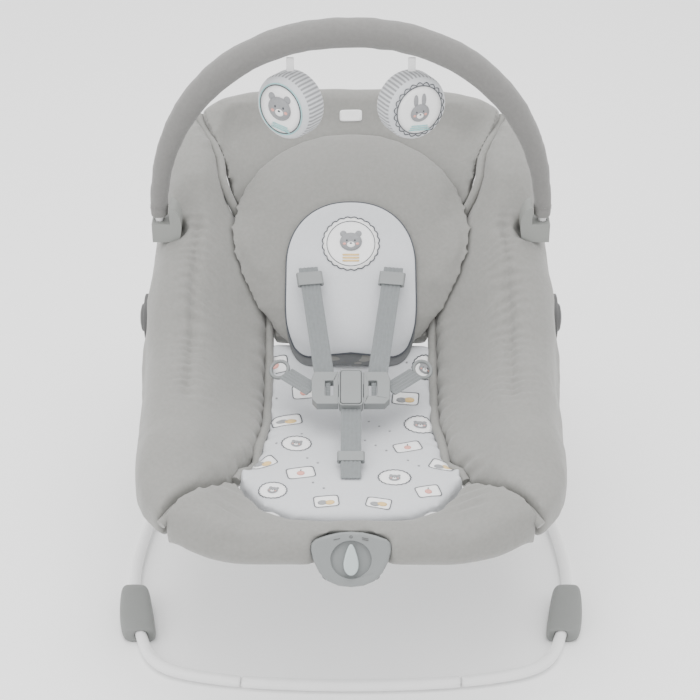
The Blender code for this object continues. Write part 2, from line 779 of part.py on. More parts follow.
def ribbon(name, points, wide, thick, face, mat):
    """Flat webbing along points; face is the direction that its width is square to."""
    rings = []
    for i, point in enumerate(points):
        ahead = (points[min(i + 1, len(points) - 1)] - points[max(i - 1, 0)]).normalized()
        across = ahead.cross(face).normalized()
        out = across.cross(ahead).normalized()
        rings.append([point + across * wide / 2 * a + out * thick / 2 * b
                      for a, b in ((-1, -1), (1, -1), (1, 1), (-1, 1))])
    return loft(name, rings, mat)


BUCKLE_RIM = 0.0016
PLATE_SPARE = 0.0004              # room left under the plate when it is pressed
PLATE_PROUD = 0.0008
STRAP_WIDE = 0.0220
STRAP_THICK = 0.0020
SLIDER_WIDE = 0.0290
SLIDER_THICK = 0.0065
WAIST_START = 0.0350              # clear of the tongue when it is pulled out


def shoulder_ends(side):
    """Top and bottom of a shoulder strap's straight run."""
    place, across, up, out = buckle_axes()
    top = at(side * 0.0475, 0.3400, 0.3130)
    low = place + across * side * 0.0290 + up * 0.0262 + out * 0.0010
    return top, low


def slider(name, centre, ahead, tall, mat):
    """Tri-glide: a frame with one slot that the webbing runs through."""
    across = ahead.cross(Vector((0, 0, 1))).normalized()
    out = across.cross(ahead).normalized()
    item = prism(name, box_outline(SLIDER_WIDE / 2, SLIDER_THICK / 2, 0.0025), centre, across, out, ahead,
                 -tall / 2, tall / 2, mat)
    slot = cutter(prism(name + "_slot", box_outline(STRAP_WIDE / 2 + 0.0008, STRAP_THICK / 2 + 0.0006),
                        centre, across, out, ahead, -tall, tall, mat))
    cut(item, slot)
    return item


def harness(mats):
    """Straps and their fixed hardware, then the pieces that move on their own.

    Each slider comes with its centre, where its sliding axis passes.
    """
    place, across, up, out = buckle_axes()
    fixed, tongues, sliders = [], {}, {}
    body = prism("buckle_body", box_outline(*BUCKLE_HALF, 0.0045), place, across, up, out,
                 -BUCKLE_FACE, BUCKLE_FACE, mats["grey"])
    for word, side in SIDES:
        slot = cutter(prism("tongue_slot_" + word, box_outline(0.0052, 0.0075),
                            place + across * side * 0.0092, across, up, out, -0.0022, 0.0022, mats["grey"]))
        cut(body, slot)
    wide, tall = (half - BUCKLE_RIM for half in BUCKLE_HALF)
    well = cutter(prism("plate_well", box_outline(wide, tall, 0.0032), place, across, up, out,
                        PLATE_FLOOR, BUCKLE_FACE + 0.0030, mats["grey"]))
    cut(body, well)
    button = prism("buckle_button", box_outline(wide - GAP, tall - GAP, 0.0030), place, across, up, out,
                   PLATE_FLOOR + PLATE_TRAVEL + PLATE_SPARE, BUCKLE_FACE + PLATE_PROUD, mats["grey"])
    soften(button, 0.0006)
    fixed.append(body)
    for word, side in SIDES:
        middle = place + across * side * TONGUE_X
        outline = [(x * side, y) for x, y in
                   ((-0.0148, -0.0205), (0.0080, -0.0205), (0.0132, -0.0140), (0.0140, 0.0120),
                    (0.0110, 0.0215), (-0.0148, 0.0215))]
        if side < 0:
            outline.reverse()
        tongue = prism("tongue_" + word, outline, middle, across, up, out, -0.0055, 0.0055, mats["grey"])
        web_slot = cutter(prism("strap_slot_" + word, box_outline(*TONGUE_EYE, 0.0012),
                                middle - across * side * TONGUE_EYE_IN, across, up, out,
                                -0.0100, 0.0100, mats["grey"]))
        prong = prism("prong_" + word, box_outline(0.0058, 0.0068), middle - across * side * 0.0185,
                      across, up, out, -0.0016, 0.0016, mats["grey"])
        cutter(prong)
        unite(tongue, prong)
        cut(tongue, web_slot)
        tongues[word] = tongue
        top, low = shoulder_ends(side)
        run = [top.lerp(low, t) for t in (0.0, 0.25, 0.5, 0.75, 1.0)]
        fixed.append(ribbon("shoulder_strap_" + word, run, STRAP_WIDE, STRAP_THICK, Vector((0, 0, 1)),
                            mats["web"]))
        ahead = (low - top).normalized()
        centre = top + ahead * 0.0150
        sliders[word] = (slider("shoulder_slider_" + word, centre, ahead, 0.0160, mats["grey"]), centre)
        ring_at = at(side * 0.0780, 0.2530, 0.2330)
        ring_axis = Vector((side * 0.25, -0.55, 0.80)).normalized()
        rim = [(0.0100 + 0.0022 * math.cos(a), 0.0022 * math.sin(a))
               for a in (2 * math.pi * k / 8 for k in range(8))]
        fixed.append(turned_ring("waist_ring_" + word, ring_at, ring_axis, rim, 20, mats["grey"]))
        start = middle + across * side * WAIST_START
        towards = (ring_at - start)
        finish = start + towards * (1 - 0.0126 / towards.length)
        fixed.append(ribbon("waist_strap_" + word, [start, start.lerp(finish, 0.5), finish],
                            0.0200, STRAP_THICK, out, mats["web"]))
    slit = lifted(0, 0.0990, 0.0018)
    end = place - up * 0.0241 + out * 0.0005
    fixed.append(ribbon("crotch_strap", [slit, slit.lerp(end, 0.5), end], STRAP_WIDE, STRAP_THICK,
                        Vector((0, 0, 1)), mats["web"]))
    ahead = (end - slit).normalized()
    centre = slit + ahead * 0.0290
    sliders["crotch"] = (slider("crotch_slider", centre, ahead, 0.0120, mats["grey"]), centre)
    return fixed, tongues, sliders, button


# ---------------------------------------------------------------- toy arch
def arch_axes():
    return at(0, *ARCH_FOOT), Vector((0, -math.sin(ARCH_LEAN), math.cos(ARCH_LEAN)))


def arch_point(angle):
    """Point of the arch's centre line; angle 0 is the right end and pi the left end."""
    foot, up = arch_axes()
    c, s = math.cos(angle), math.sin(angle)
    x = ARCH_HALF * math.copysign(abs(c) ** (2 / ARCH_POWER), c)
    return foot + Vector((x, 0, 0)) + up * ARCH_RISE * max(s, 0.0) ** (2 / ARCH_POWER)


def arch_path(steps):
    """Evenly eased points from end to end."""
    path = []
    for k in range(steps + 1):
        t = k / steps
        path.append(arch_point(math.pi * (t + 0.02 * math.sin(2 * math.pi * t))))
    return path


ARCH_STEPS = 28
ROD_TAIL = 0.0160                 # how far the rod reaches into its sockets
SLEEVE_SHORT = 0.0060             # bare rod between each sleeve end and its socket
SOCKET_LOW = -0.0210
SOCKET_LEDGE = 0.0020
SOCKET_OUT = 0.0078
SOCKET_DEEP = 0.0120
CHEEK_X = 0.0125                  # the cheek stands just inside the sleeve
CHEEK_WIDE = 0.0125
CHEEK_TALL = 0.0220
SOCKET_ROOM_TOP = 0.0430          # the bolster is open above the socket for the sleeve


def toy_arch(mats):
    foot, up = arch_axes()
    path = arch_path(ARCH_STEPS)
    sleeve_r = [mix(0.0110, 0.0170, ease(1.15 * math.sin(math.pi * k / ARCH_STEPS)))
                for k in range(ARCH_STEPS + 1)]
    bore_r = [0.0073] * (ARCH_STEPS + 1)
    covered = [path[0] + up * SLEEVE_SHORT] + path[1:-1] + [path[-1] + up * SLEEVE_SHORT]
    sleeve = loft_bore("arch_sleeve", circles(covered, sleeve_r, 12), circles(covered, bore_r, 12),
                       mats["sleeve"])
    tail = -up * ROD_TAIL
    rod_path = [path[0] + tail, path[0] + tail * 0.5] + path + [path[-1] + tail * 0.5, path[-1] + tail]
    rod = tube("arch_rod", rod_path, 0.0050, 8, mats["white"])
    made = [sleeve, rod]
    sockets = []
    for word, side in SIDES:
        end = foot + Vector((side * ARCH_HALF, 0, 0))
        middle = SOCKET_LOW + CHEEK_TALL
        outline = [(SOCKET_OUT, SOCKET_LOW), (SOCKET_OUT, SOCKET_LEDGE), (-CHEEK_X, SOCKET_LEDGE),
                   (-CHEEK_X, middle + CHEEK_TALL)]
        for k in range(1, 16):
            a = math.pi * k / 16
            wide = CHEEK_WIDE * math.sin(a) ** (1.0 if a < math.pi / 2 else 0.45)
            outline.append((-CHEEK_X - wide, middle + CHEEK_TALL * math.cos(a)))
        outline.append((-CHEEK_X, SOCKET_LOW))
        outline = [(x * side, y) for x, y in outline]
        if side < 0:
            outline.reverse()
        depth = Vector((1, 0, 0)).cross(up)
        socket = prism("arch_socket_" + word, outline, end, Vector((1, 0, 0)), up, depth,
                       -SOCKET_DEEP, SOCKET_DEEP, mats["pale"])
        bore = cutter(turned("plug_bore_" + word, end, -up, [(0.0054, -0.0100), (0.0054, ROD_TAIL + 0.0010)],
                             16, mats["pale"]))
        cut(socket, bore)
        sockets.append(socket)
    return made, sockets


def socket_cutters(mats):
    """Room in each bolster for its arch socket."""
    foot, up = arch_axes()
    depth = Vector((1, 0, 0)).cross(up)
    tools = {}
    for word, side in SIDES:
        end = foot + Vector((side * ARCH_HALF, 0, 0))
        tall = (SOCKET_ROOM_TOP - SOCKET_LOW + GAP) / 2
        tools[word] = cutter(prism("socket_room_" + word, box_outline(0.0200, tall),
                                   end + Vector((side * -0.0070, 0, 0)) + up * (SOCKET_ROOM_TOP - tall),
                                   Vector((1, 0, 0)), up, depth, -SOCKET_DEEP - 0.0008,
                                   SOCKET_DEEP + 0.0008, mats["pale"]))
    return tools


TOY_X = 0.0640
TOY_R = 0.0360
TOY_HALF = 0.0190
TOY_UP = 0.5040
TOY_BACK = 0.3498
TOY_SWING_UP = 0.5505


def toys(mats):
    """Each toy hangs under the sleeve by a short stem."""
    stems, drums = {}, {}
    for word, side, turn in (("left", -1, 36.0), ("right", 1, 27.0)):
        hang_at = at(side * TOY_X, TOY_BACK, 0.0)
        stem = prism("toy_stem_" + word, box_outline(0.0040, 0.0015, 0.0012), hang_at,
                     Vector((1, 0, 0)), Vector((0, 1, 0)), Vector((0, 0, 1)), 0.5413, 0.5560,
                     mats["white"])
        facing = Vector((side * math.sin(math.radians(turn)), -math.cos(math.radians(turn)), 0))
        centre = at(side * TOY_X, TOY_BACK, TOY_UP)
        profile = [(TOY_R - 0.009, -TOY_HALF), (TOY_R - 0.003, -TOY_HALF + 0.002),
                   (TOY_R, -TOY_HALF + 0.007), (TOY_R, TOY_HALF - 0.007),
                   (TOY_R - 0.003, TOY_HALF - 0.002), (TOY_R - 0.009, TOY_HALF)]
        drums[word] = turned("toy_" + ("bear" if side < 0 else "rabbit"), centre, facing, profile, 32,
                             mats["toy"])
        stems[word] = stem
    return stems, drums


# ---------------------------------------------------------------- vibration unit
def unit_axes():
    up = Vector((0, math.sin(UNIT_TILT), math.cos(UNIT_TILT)))
    out = Vector((0, -math.cos(UNIT_TILT), math.sin(UNIT_TILT)))
    return at(0, *UNIT), Vector((1, 0, 0)), up, out


SHELL_HALF = (0.0290, 0.0215)     # back shell, outside
SHELL_BACK = -0.0450
MOTOR = (-0.0240, 0.0095)         # out and up from the face's centre
DIAL_DROP = 0.0010                # the dial's axis sits this far below the centre
DOOR_HINGE_OUT = SHELL_BACK - 0.0017


def shield_outline():
    """Rounded shield: broad shoulders, drawn in to a rounded foot."""
    right = [(0.0, -0.0280), (0.0125, -0.0266), (0.0230, -0.0222), (0.0312, -0.0140), (0.0368, -0.0030),
             (0.0400, 0.0080), (0.0400, 0.0145), (0.0350, 0.0190), (0.0240, 0.0228), (0.0120, 0.0255),
             (0.0, 0.0265)]
    return right + [(-x, y) for x, y in reversed(right[1:-1])]


def knob_outline(low, high):
    """Teardrop: round at the foot, narrow at the top."""
    points = []
    for k in range(24):
        a = 2 * math.pi * k / 24 - math.pi / 2
        narrow = mix(1.0, 0.55, ease((math.sin(a) + 1) / 2))
        points.append((0.0090 * math.cos(a) * narrow, mix(low, high, (math.sin(a) + 1) / 2)))
    return points


def control_unit(mats):
    place, across, up, out = unit_axes()
    fixed = []
    front = prism("control_front_shell", shield_outline(), place, across, up, out, -0.0120, 0.0,
                  mats["grey"])
    soften(front, 0.0028)
    ring = [(0.0202 * math.cos(a), 0.0185 * math.sin(a) - 0.0010)
            for a in (2 * math.pi * k / 28 for k in range(28))]
    recess = cutter(prism("knob_recess", ring, place, across, up, out, -0.0040, 0.0100, mats["grey"]))
    bore = cutter(turned("knob_bore", place - up * DIAL_DROP, out, [(0.0036, -0.0200), (0.0036, 0.0050)],
                         16, mats["grey"]))
    cut(front, recess, bore)
    fixed.append(front)
    wide, tall = SHELL_HALF
    back = prism("control_back_shell", box_outline(wide, tall, 0.0050), place, across, up, out,
                 SHELL_BACK, -0.0125, mats["grey"])
    room = cutter(prism("shell_room", box_outline(wide - 0.0020, tall - 0.0020, 0.0032), place, across,
                        up, out, -0.0600, 0.0100, mats["grey"]))
    cut(back, room)
    fixed.append(back)
    board = prism("circuit_board", box_outline(0.0240, 0.0170), place, across, up, out, -0.0186,
                  -0.0170, mats["board"])
    switch = cutter(turned("rotary_switch", place - up * DIAL_DROP, out,
                           [(0.0055, -0.0175), (0.0055, -0.0135)], 20, mats["dark"]))
    unite(board, switch)
    fixed.append(board)
    motor_at = place + out * MOTOR[0] + up * MOTOR[1]
    fixed.append(turned("vibration_motor", motor_at - across * 0.0160, across,
                        [(0.0045, 0.0), (0.0045, 0.0180), (0.0012, 0.0180), (0.0012, 0.0222)], 20,
                        mats["steel"]))
    half_disc = [(0.0046 * math.cos(a), 0.0046 * math.sin(a))
                 for a in (math.pi * k / 10 - math.pi for k in range(11))]
    half_disc += [(0.0022, 0.0022), (-0.0022, 0.0022)]
    weight = prism("eccentric_weight", half_disc, motor_at, up, out, across, 0.0072, 0.0112,
                   mats["steel"])
    shaft_hole = cutter(turned("shaft_hole", motor_at, across, [(0.00155, 0.0), (0.00155, 0.0160)], 12,
                               mats["steel"]))
    cut(weight, shaft_hole)
    for k, word in enumerate(("upper", "lower")):
        middle = place + out * -0.0358 + up * (0.0080 if k == 0 else -0.0080)
        fixed.append(turned("battery_" + word, middle - across * 0.0245, across,
                            [(0.0072, 0.0), (0.0072, 0.0478), (0.0027, 0.0478), (0.0027, 0.0490)], 20,
                            mats["cell"]))
    knob = prism("control_knob", knob_outline(-0.0165, 0.0145), place - up * 0.0002, across, up, out,
                 -0.0035, 0.0048, mats["knob"])
    soften(knob, 0.0015)
    shaft = cutter(turned("knob_shaft", place - up * DIAL_DROP, out, [(0.0031, -0.0130), (0.0031, 0.0020)],
                          16, mats["knob"]))
    unite(knob, shaft)
    door = prism("battery_door", box_outline(wide - 0.0005, tall - 0.0005, 0.0045), place, across, up,
                 out, SHELL_BACK - 0.0030, SHELL_BACK - 0.0004, mats["grey"])
    screw_at = place + up * 0.0180
    hole = cutter(turned("screw_hole", screw_at, out, [(0.0019, -0.0600), (0.0019, -0.0400)], 16,
                         mats["steel"]))
    cut(door, hole)
    screw = turned("battery_door_screw", screw_at, out,
                   [(0.0026, -0.0500), (0.0032, -0.0495), (0.0032, -0.0483), (0.0015, -0.0483),
                    (0.0015, -0.0440)], 16, mats["steel"])
    return fixed, knob, weight, [door, screw]


def unit_room(mats):
    place, across, up, out = unit_axes()
    wide, tall = SHELL_HALF
    through = prism("unit_room", box_outline(wide + 0.0015, tall + 0.0015, 0.0050), place, across, up,
                    out, -0.0900, 0.0400, mats["grey"])
    face = [(x * 1.03, y * 1.04) for x, y in shield_outline()]
    pocket = prism("unit_pocket", face, place, across, up, out, -0.0125, 0.0400, mats["grey"])
    return cutter(through), cutter(pocket)


# ---------------------------------------------------------------- the whole seat
def build():
    clear_scene()
    mats = make_materials()
    front_tubes(mats)
    front_feet(mats)
    rear_feet(mats)
    tubes, channels = seat_frame(mats)
    hub_inner, hub_outer, hub_buttons = hubs(mats)
    pad, back, front = seat_pad(mats), back_panel(mats), front_panel(mats)
    bolsters = {word: side_bolster(word, side, mats) for word, side in SIDES}
    unit_through, unit_pocket = unit_room(mats)
    cut(front, channels[1], unit_through, unit_pocket)
    cut(pad, channels[1], unit_through)
    cut(back, channels[0])
    rooms = socket_cutters(mats)
    for word, side in SIDES:
        hub_room = cutter(turned("hub_room_" + word, at(0, *HUB), Vector((side, 0, 0)),
                                 [(HUB_R + 0.0025, 0.1800), (HUB_R + 0.0025, 0.2600)], 32, mats["grey"]))
        riser = riser_path(side)
        riser_room = cutter(tube("riser_room_" + word, riser[-3:], BASE_TUBE_R + 0.0095, 12, mats["tube"]))
        cut(bolsters[word], channels[0], channels[1], hub_room, riser_room, rooms[word])
    cushion, panel = body_cushion(mats), head_panel(mats)
    straps, tongues, sliders, buckle_button = harness(mats)
    arch, sockets = toy_arch(mats)
    stems, drums = toys(mats)
    unit, knob, weight, door = control_unit(mats)

    flex = axis_empty("bounce_axis", at(0, *FLEX))
    hang(flex, risers(mats) + hub_outer)
    for (word, side), item in zip(SIDES, hub_buttons):
        hang(axis_empty("hub_button_axis_" + word, at(side * HUB_BUTTON_X, *HUB), flex), [item])
    recline = axis_empty("recline_axis", at(0, *HUB), flex)
    hang(recline, tubes + hub_inner + [pad, back, front, cushion, panel] + list(bolsters.values())
         + straps + sockets + unit)
    arch_axis = axis_empty("arch_lift_axis", at(0, *ARCH_FOOT), recline)
    hang(arch_axis, arch)
    for word, side in SIDES:
        swing = axis_empty("toy_swing_axis_" + word, at(side * TOY_X, TOY_BACK, TOY_SWING_UP), arch_axis)
        hang(swing, [stems[word]])
        hang(axis_empty("toy_spin_axis_" + word, at(side * TOY_X, TOY_BACK, TOY_UP), swing), [drums[word]])
        hang(axis_empty("tongue_axis_" + word, at(side * TONGUE_X, *BUCKLE), recline), [tongues[word]])
    for word, (item, centre) in sliders.items():
        hang(axis_empty("slider_axis_" + word, centre, recline), [item])
    hang(axis_empty("buckle_button_axis", at(0, *BUCKLE), recline), [buckle_button])
    place, _, up, out = unit_axes()
    hang(axis_empty("knob_axis", place - up * DIAL_DROP, recline), [knob])
    hang(axis_empty("weight_axis", place + out * MOTOR[0] + up * MOTOR[1], recline), [weight])
    hang(axis_empty("battery_door_axis", place + out * DOOR_HINGE_OUT - up * SHELL_HALF[1], recline), door)


build()
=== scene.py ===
# %% [markdown]
# # A baby bouncer seat
# The seat is a padded bucket of grey jersey on a sprung white tube, with a printed pad, a harness,
# a toy arch and a vibration unit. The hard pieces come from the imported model. This file gives them
# their finishes and builds the soft goods around them.

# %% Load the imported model
import json
import math

import bmesh
import bpy
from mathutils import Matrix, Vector, noise
from mathutils.bvhtree import BVHTree


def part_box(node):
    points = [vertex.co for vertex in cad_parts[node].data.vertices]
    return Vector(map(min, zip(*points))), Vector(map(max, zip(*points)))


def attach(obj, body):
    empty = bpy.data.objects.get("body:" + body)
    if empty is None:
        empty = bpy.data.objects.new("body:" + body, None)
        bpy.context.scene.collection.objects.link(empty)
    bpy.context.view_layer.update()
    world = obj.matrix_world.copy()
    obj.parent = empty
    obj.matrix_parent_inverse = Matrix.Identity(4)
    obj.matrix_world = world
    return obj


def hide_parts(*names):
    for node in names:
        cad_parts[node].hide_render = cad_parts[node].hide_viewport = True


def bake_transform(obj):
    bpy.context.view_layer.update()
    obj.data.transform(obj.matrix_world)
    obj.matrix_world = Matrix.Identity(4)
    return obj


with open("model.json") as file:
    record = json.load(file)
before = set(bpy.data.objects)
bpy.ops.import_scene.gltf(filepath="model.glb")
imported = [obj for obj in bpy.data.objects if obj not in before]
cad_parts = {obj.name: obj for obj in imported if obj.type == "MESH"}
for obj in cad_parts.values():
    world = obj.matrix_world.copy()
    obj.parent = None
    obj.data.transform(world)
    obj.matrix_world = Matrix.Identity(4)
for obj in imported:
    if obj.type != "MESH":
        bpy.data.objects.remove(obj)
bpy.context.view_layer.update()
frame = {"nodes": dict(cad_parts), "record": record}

SIDES = (("left", -1), ("right", 1))

# %% [markdown]
# The sitting surface is a flat seat, a curved crease and a sloping back. One formula for it lets
# every print, seam and strap be placed by two numbers: x across, and s along the seat from its front.

# %% The sitting surface
TUBE_R = 0.0065
FRONT_BAR_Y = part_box("base_front_tube")[1].y - TUBE_R
SEAT_UP = 0.1900
RECLINE = math.radians(41.7)
CREASE_R = 0.1500
CREASE_BACK = 0.2149


def at(x, back, up):
    return Vector((x, back + FRONT_BAR_Y, up))


def slope_at(s):
    return min(max((s - CREASE_BACK) / CREASE_R, 0.0), RECLINE)


def on_seat(x, s, lift=0.0):
    """Point at x and s, lifted at right angles to the sitting surface."""
    slope = slope_at(s)
    rest = max(s - CREASE_BACK - CREASE_R * RECLINE, 0.0)
    flat = min(s, CREASE_BACK)
    back = flat + CREASE_R * math.sin(slope) + rest * math.cos(slope)
    up = SEAT_UP + CREASE_R * (1 - math.cos(slope)) + rest * math.sin(slope)
    return at(x, back - math.sin(slope) * lift, up + math.cos(slope) * lift)


def seat_out(s):
    return Vector((0, -math.sin(slope_at(s)), math.cos(slope_at(s))))


print("back slope:", round(math.degrees(RECLINE), 1), "degrees")

# %% [markdown]
# The bolsters meet the pad and the back along a curved seam. It is kept as a few pairs of s and x,
# and a smooth step between them gives the seam anywhere along the seat.

# %% Seam lines
def ease(t):
    t = min(max(t, 0.0), 1.0)
    return t * t * (3 - 2 * t)


def table(points, value):
    """Smooth value between (place, value) pairs."""
    for (p0, v0), (p1, v1) in zip(points, points[1:]):
        if value <= p1:
            return v0 + (v1 - v0) * ease((value - p0) / (p1 - p0))
    return points[-1][1]


SEAM_LINE = ((0.105, 0.120), (0.150, 0.100), (0.220, 0.092), (0.400, 0.092), (0.529, 0.149),
             (0.613, 0.178), (0.648, 0.178))
CORNER_SEAM = ((0.120, 0.105), (0.190, 0.029))


def length_at(back):
    """Place s on the seat of a point this far behind the front bar."""
    turn = math.asin(min(max((back - CREASE_BACK) / CREASE_R, 0.0), 1.0))
    if back <= CREASE_BACK:
        return back
    if turn < RECLINE:
        return CREASE_BACK + CREASE_R * turn
    beyond = back - CREASE_BACK - CREASE_R * math.sin(RECLINE)
    return CREASE_BACK + CREASE_R * RECLINE + beyond / math.cos(RECLINE)


print("seam points:", len(SEAM_LINE))

# %% [markdown]
# Each finish is a small group of nodes on a Principled shader. Jersey needs three scales: a slow
# drift of tone, the speckle of the yarn, and the loops of the knit as a bump.

# %% Helpers for finishes
YARN_SCALE = 260.0
GRAIN_SCALE = 2600.0


def new_material(name, roughness):
    made = bpy.data.materials.new(name)
    made.use_nodes = True
    shader = made.node_tree.nodes["Principled BSDF"]
    shader.inputs["Roughness"].default_value = roughness
    return made, made.node_tree, shader


def noise_node(tree, scale, detail):
    place = tree.nodes.new("ShaderNodeTexCoord")
    made = tree.nodes.new("ShaderNodeTexNoise")
    made.inputs["Scale"].default_value = scale
    made.inputs["Detail"].default_value = detail
    tree.links.new(place.outputs["Object"], made.inputs["Vector"])
    return made


def toned(tree, shader, colour, spread, scale, detail=3.0):
    """Base colour that drifts a little darker and lighter over the surface."""
    drift = noise_node(tree, scale, detail)
    ramp = tree.nodes.new("ShaderNodeValToRGB")
    ramp.color_ramp.elements[0].position = 0.3
    ramp.color_ramp.elements[1].position = 0.7
    ramp.color_ramp.elements[0].color = (*[c * (1 - spread) for c in colour], 1)
    ramp.color_ramp.elements[1].color = (*[c * (1 + spread) for c in colour], 1)
    tree.links.new(drift.outputs["Fac"], ramp.inputs["Fac"])
    tree.links.new(ramp.outputs["Color"], shader.inputs["Base Color"])


def bumped(tree, shader, source, distance, strength):
    bump = tree.nodes.new("ShaderNodeBump")
    bump.inputs["Distance"].default_value = distance
    bump.inputs["Strength"].default_value = strength
    tree.links.new(source, bump.inputs["Height"])
    tree.links.new(bump.outputs["Normal"], shader.inputs["Normal"])


def cloth_finish(name, colour, spread=0.05, loops=1400.0):
    made, tree, shader = new_material(name, 0.88)
    shader.inputs["Sheen Weight"].default_value = 0.25
    shader.inputs["Sheen Roughness"].default_value = 0.5
    toned(tree, shader, colour, spread, YARN_SCALE, 6.0)
    place = tree.nodes.new("ShaderNodeTexCoord")
    knit = tree.nodes.new("ShaderNodeTexVoronoi")
    knit.inputs["Scale"].default_value = loops
    tree.links.new(place.outputs["Object"], knit.inputs["Vector"])
    bumped(tree, shader, knit.outputs["Distance"], 0.0004, 0.35)
    return made


def plastic_finish(name, colour, roughness, grain=0.10, coat=0.0):
    made, tree, shader = new_material(name, roughness)
    shader.inputs["Coat Weight"].default_value = coat
    toned(tree, shader, colour, 0.02, 40.0)
    bumped(tree, shader, noise_node(tree, GRAIN_SCALE, 2.0).outputs["Fac"], 0.0001, grain)
    return made


def metal_finish(name, colour):
    made, tree, shader = new_material(name, 0.32)
    shader.inputs["Metallic"].default_value = 1.0
    toned(tree, shader, colour, 0.04, 300.0)
    return made


# %% [markdown]
# The cover is a warm light grey jersey, and the sleeve and the band are a little darker. The prints
# are cloth in plain inks. Of the hard pieces only the tube and the knob have a gloss.

# %% The finishes
JERSEY = cloth_finish("grey_jersey", (0.226, 0.224, 0.211))
SLEEVE = cloth_finish("arch_jersey", (0.172, 0.169, 0.163))
BAND = cloth_finish("band_jersey", (0.130, 0.134, 0.138))
COTTON = cloth_finish("pale_cotton", (0.570, 0.583, 0.605), 0.02, 1900.0)
WEBBING = cloth_finish("ribbed_webbing", (0.180, 0.193, 0.197), 0.06, 1000.0)
PRINT = {
    "white": cloth_finish("print_white", (0.86, 0.86, 0.86), 0.01, 1900.0),
    "ink": cloth_finish("print_ink", (0.055, 0.060, 0.070), 0.05, 1900.0),
    "grey": cloth_finish("print_grey", (0.270, 0.275, 0.285), 0.05, 1900.0),
    "pink": cloth_finish("print_pink", (0.720, 0.330, 0.280), 0.05, 1900.0),
    "gold": cloth_finish("print_gold", (0.720, 0.500, 0.210), 0.05, 1900.0),
    "teal": cloth_finish("print_teal", (0.300, 0.600, 0.600), 0.05, 1900.0),
}
TUBE_PAINT = plastic_finish("white_powder_coat", (0.80, 0.80, 0.80), 0.30, 0.05, 0.3)
RUBBER = plastic_finish("grey_rubber_finish", (0.192, 0.199, 0.192), 0.62, 0.25)
GREY = plastic_finish("grey_plastic_finish", (0.200, 0.211, 0.211), 0.42)
PALE = plastic_finish("pale_plastic_finish", (0.235, 0.242, 0.229), 0.45)
DARK = plastic_finish("dark_plastic_finish", (0.090, 0.090, 0.090), 0.50)
KNOB = plastic_finish("knob_finish", (0.400, 0.455, 0.455), 0.28, 0.03, 0.3)
WHITE = plastic_finish("white_plastic_finish", (0.800, 0.800, 0.800), 0.35)
BOARD = plastic_finish("board_finish", (0.050, 0.200, 0.080), 0.45)
CELL = plastic_finish("cell_finish", (0.080, 0.080, 0.100), 0.35)
STEEL = metal_finish("plain_steel", (0.600, 0.600, 0.600))
print("finishes:", len(bpy.data.materials))

# %% [markdown]
# The hard pieces keep their imported shape. A Weld joins the corners that the file format splits, and
# a Bevel rounds each edge as a mould would. Tubes, feet and the arch rod get a Subdivision in place of
# the Bevel, to look round.

# %% Finish the hard pieces
FINISH_OF_SLOT = {
    "white_tube": TUBE_PAINT, "grey_rubber": RUBBER, "grey_plastic": GREY, "dark_plastic": DARK,
    "pale_plastic": PALE, "knob_plastic": KNOB, "steel": STEEL, "white_plastic": WHITE,
    "circuit_board": BOARD, "battery_case": CELL,
}
WELD_REACH = 0.00001
PLAIN_EDGE = 0.0006
EDGE_ANGLE = 35
ROUND = ("base_", "riser_tube", "seat_frame", "back_frame", "front_foot", "rear_foot", "arch_rod")
EDGE_OF = {"arch_socket_left": 0.0018, "arch_socket_right": 0.0018, "tongue_left": 0.0010,
           "tongue_right": 0.0010, "buckle_body": 0.0008, "control_front_shell": 0.0012}


def weld_only(piece):
    weld = piece.modifiers.new("joined corners", "WELD")
    weld.merge_threshold = WELD_REACH


def soften_edges(piece, width, angle):
    weld_only(piece)
    bevel = piece.modifiers.new("soft edges", "BEVEL")
    bevel.width = width
    bevel.segments = 3
    bevel.limit_method = "ANGLE"
    bevel.angle_limit = math.radians(angle)
    bevel.use_clamp_overlap = True
    flat = piece.modifiers.new("flat faces stay flat", "WEIGHTED_NORMAL")
    flat.mode = "FACE_AREA"
    flat.weight = 100


def make_round(piece):
    level = piece.modifiers.new("round", "SUBSURF")
    level.levels = 2
    level.render_levels = 2


for part in frame["record"]["subparts"]:
    node = frame["nodes"][part["node"]]
    finish = FINISH_OF_SLOT.get(part["material_slot"])
    if finish is None:
        continue
    node.data.materials.clear()
    node.data.materials.append(finish)
    if part["node"].startswith(ROUND):
        weld_only(node)
        make_round(node)
    else:
        soften_edges(node, EDGE_OF.get(part["node"], PLAIN_EDGE), EDGE_ANGLE)
    node.data.shade_smooth()
print("hard pieces finished")

# %% [markdown]
# Padded fabric bulges between its seams. Each soft piece starts from its plain solid, is remeshed
# into even faces, drawn in a little, and blown up by Cloth with pressure and no gravity. The
# movement is capped so that it never swells into its neighbour.

# %% Helpers for soft pieces
SIM_FRAMES = 20
PRESSURE = 4.0


def link(name, mesh, finish):
    piece = bpy.data.objects.new(name, mesh)
    bpy.context.scene.collection.objects.link(piece)
    if not mesh.materials:
        mesh.materials.append(finish)
    mesh.materials[0] = finish
    return piece


def mesh_of(bm, name):
    """Mesh with its faces turned outwards, made from the points and faces gathered in bm."""
    bmesh.ops.recalc_face_normals(bm, faces=bm.faces)
    mesh = bpy.data.meshes.new(name)
    bm.to_mesh(mesh)
    bm.free()
    return mesh


def evaluated_mesh(piece):
    graph = bpy.context.evaluated_depsgraph_get()
    return bpy.data.meshes.new_from_object(piece.evaluated_get(graph))


def remeshed(node, name, finish, voxel, rounds):
    """Even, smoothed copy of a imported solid."""
    piece = link(name, frame["nodes"][node].data.copy(), finish)
    weld_only(piece)
    remesh = piece.modifiers.new("even faces", "REMESH")
    remesh.mode = "VOXEL"
    remesh.voxel_size = voxel
    smooth = piece.modifiers.new("no facets", "SMOOTH")
    smooth.iterations = rounds
    mesh = evaluated_mesh(piece)
    piece.modifiers.clear()
    piece.data = mesh
    mesh.materials.clear()
    mesh.materials.append(finish)
    return piece


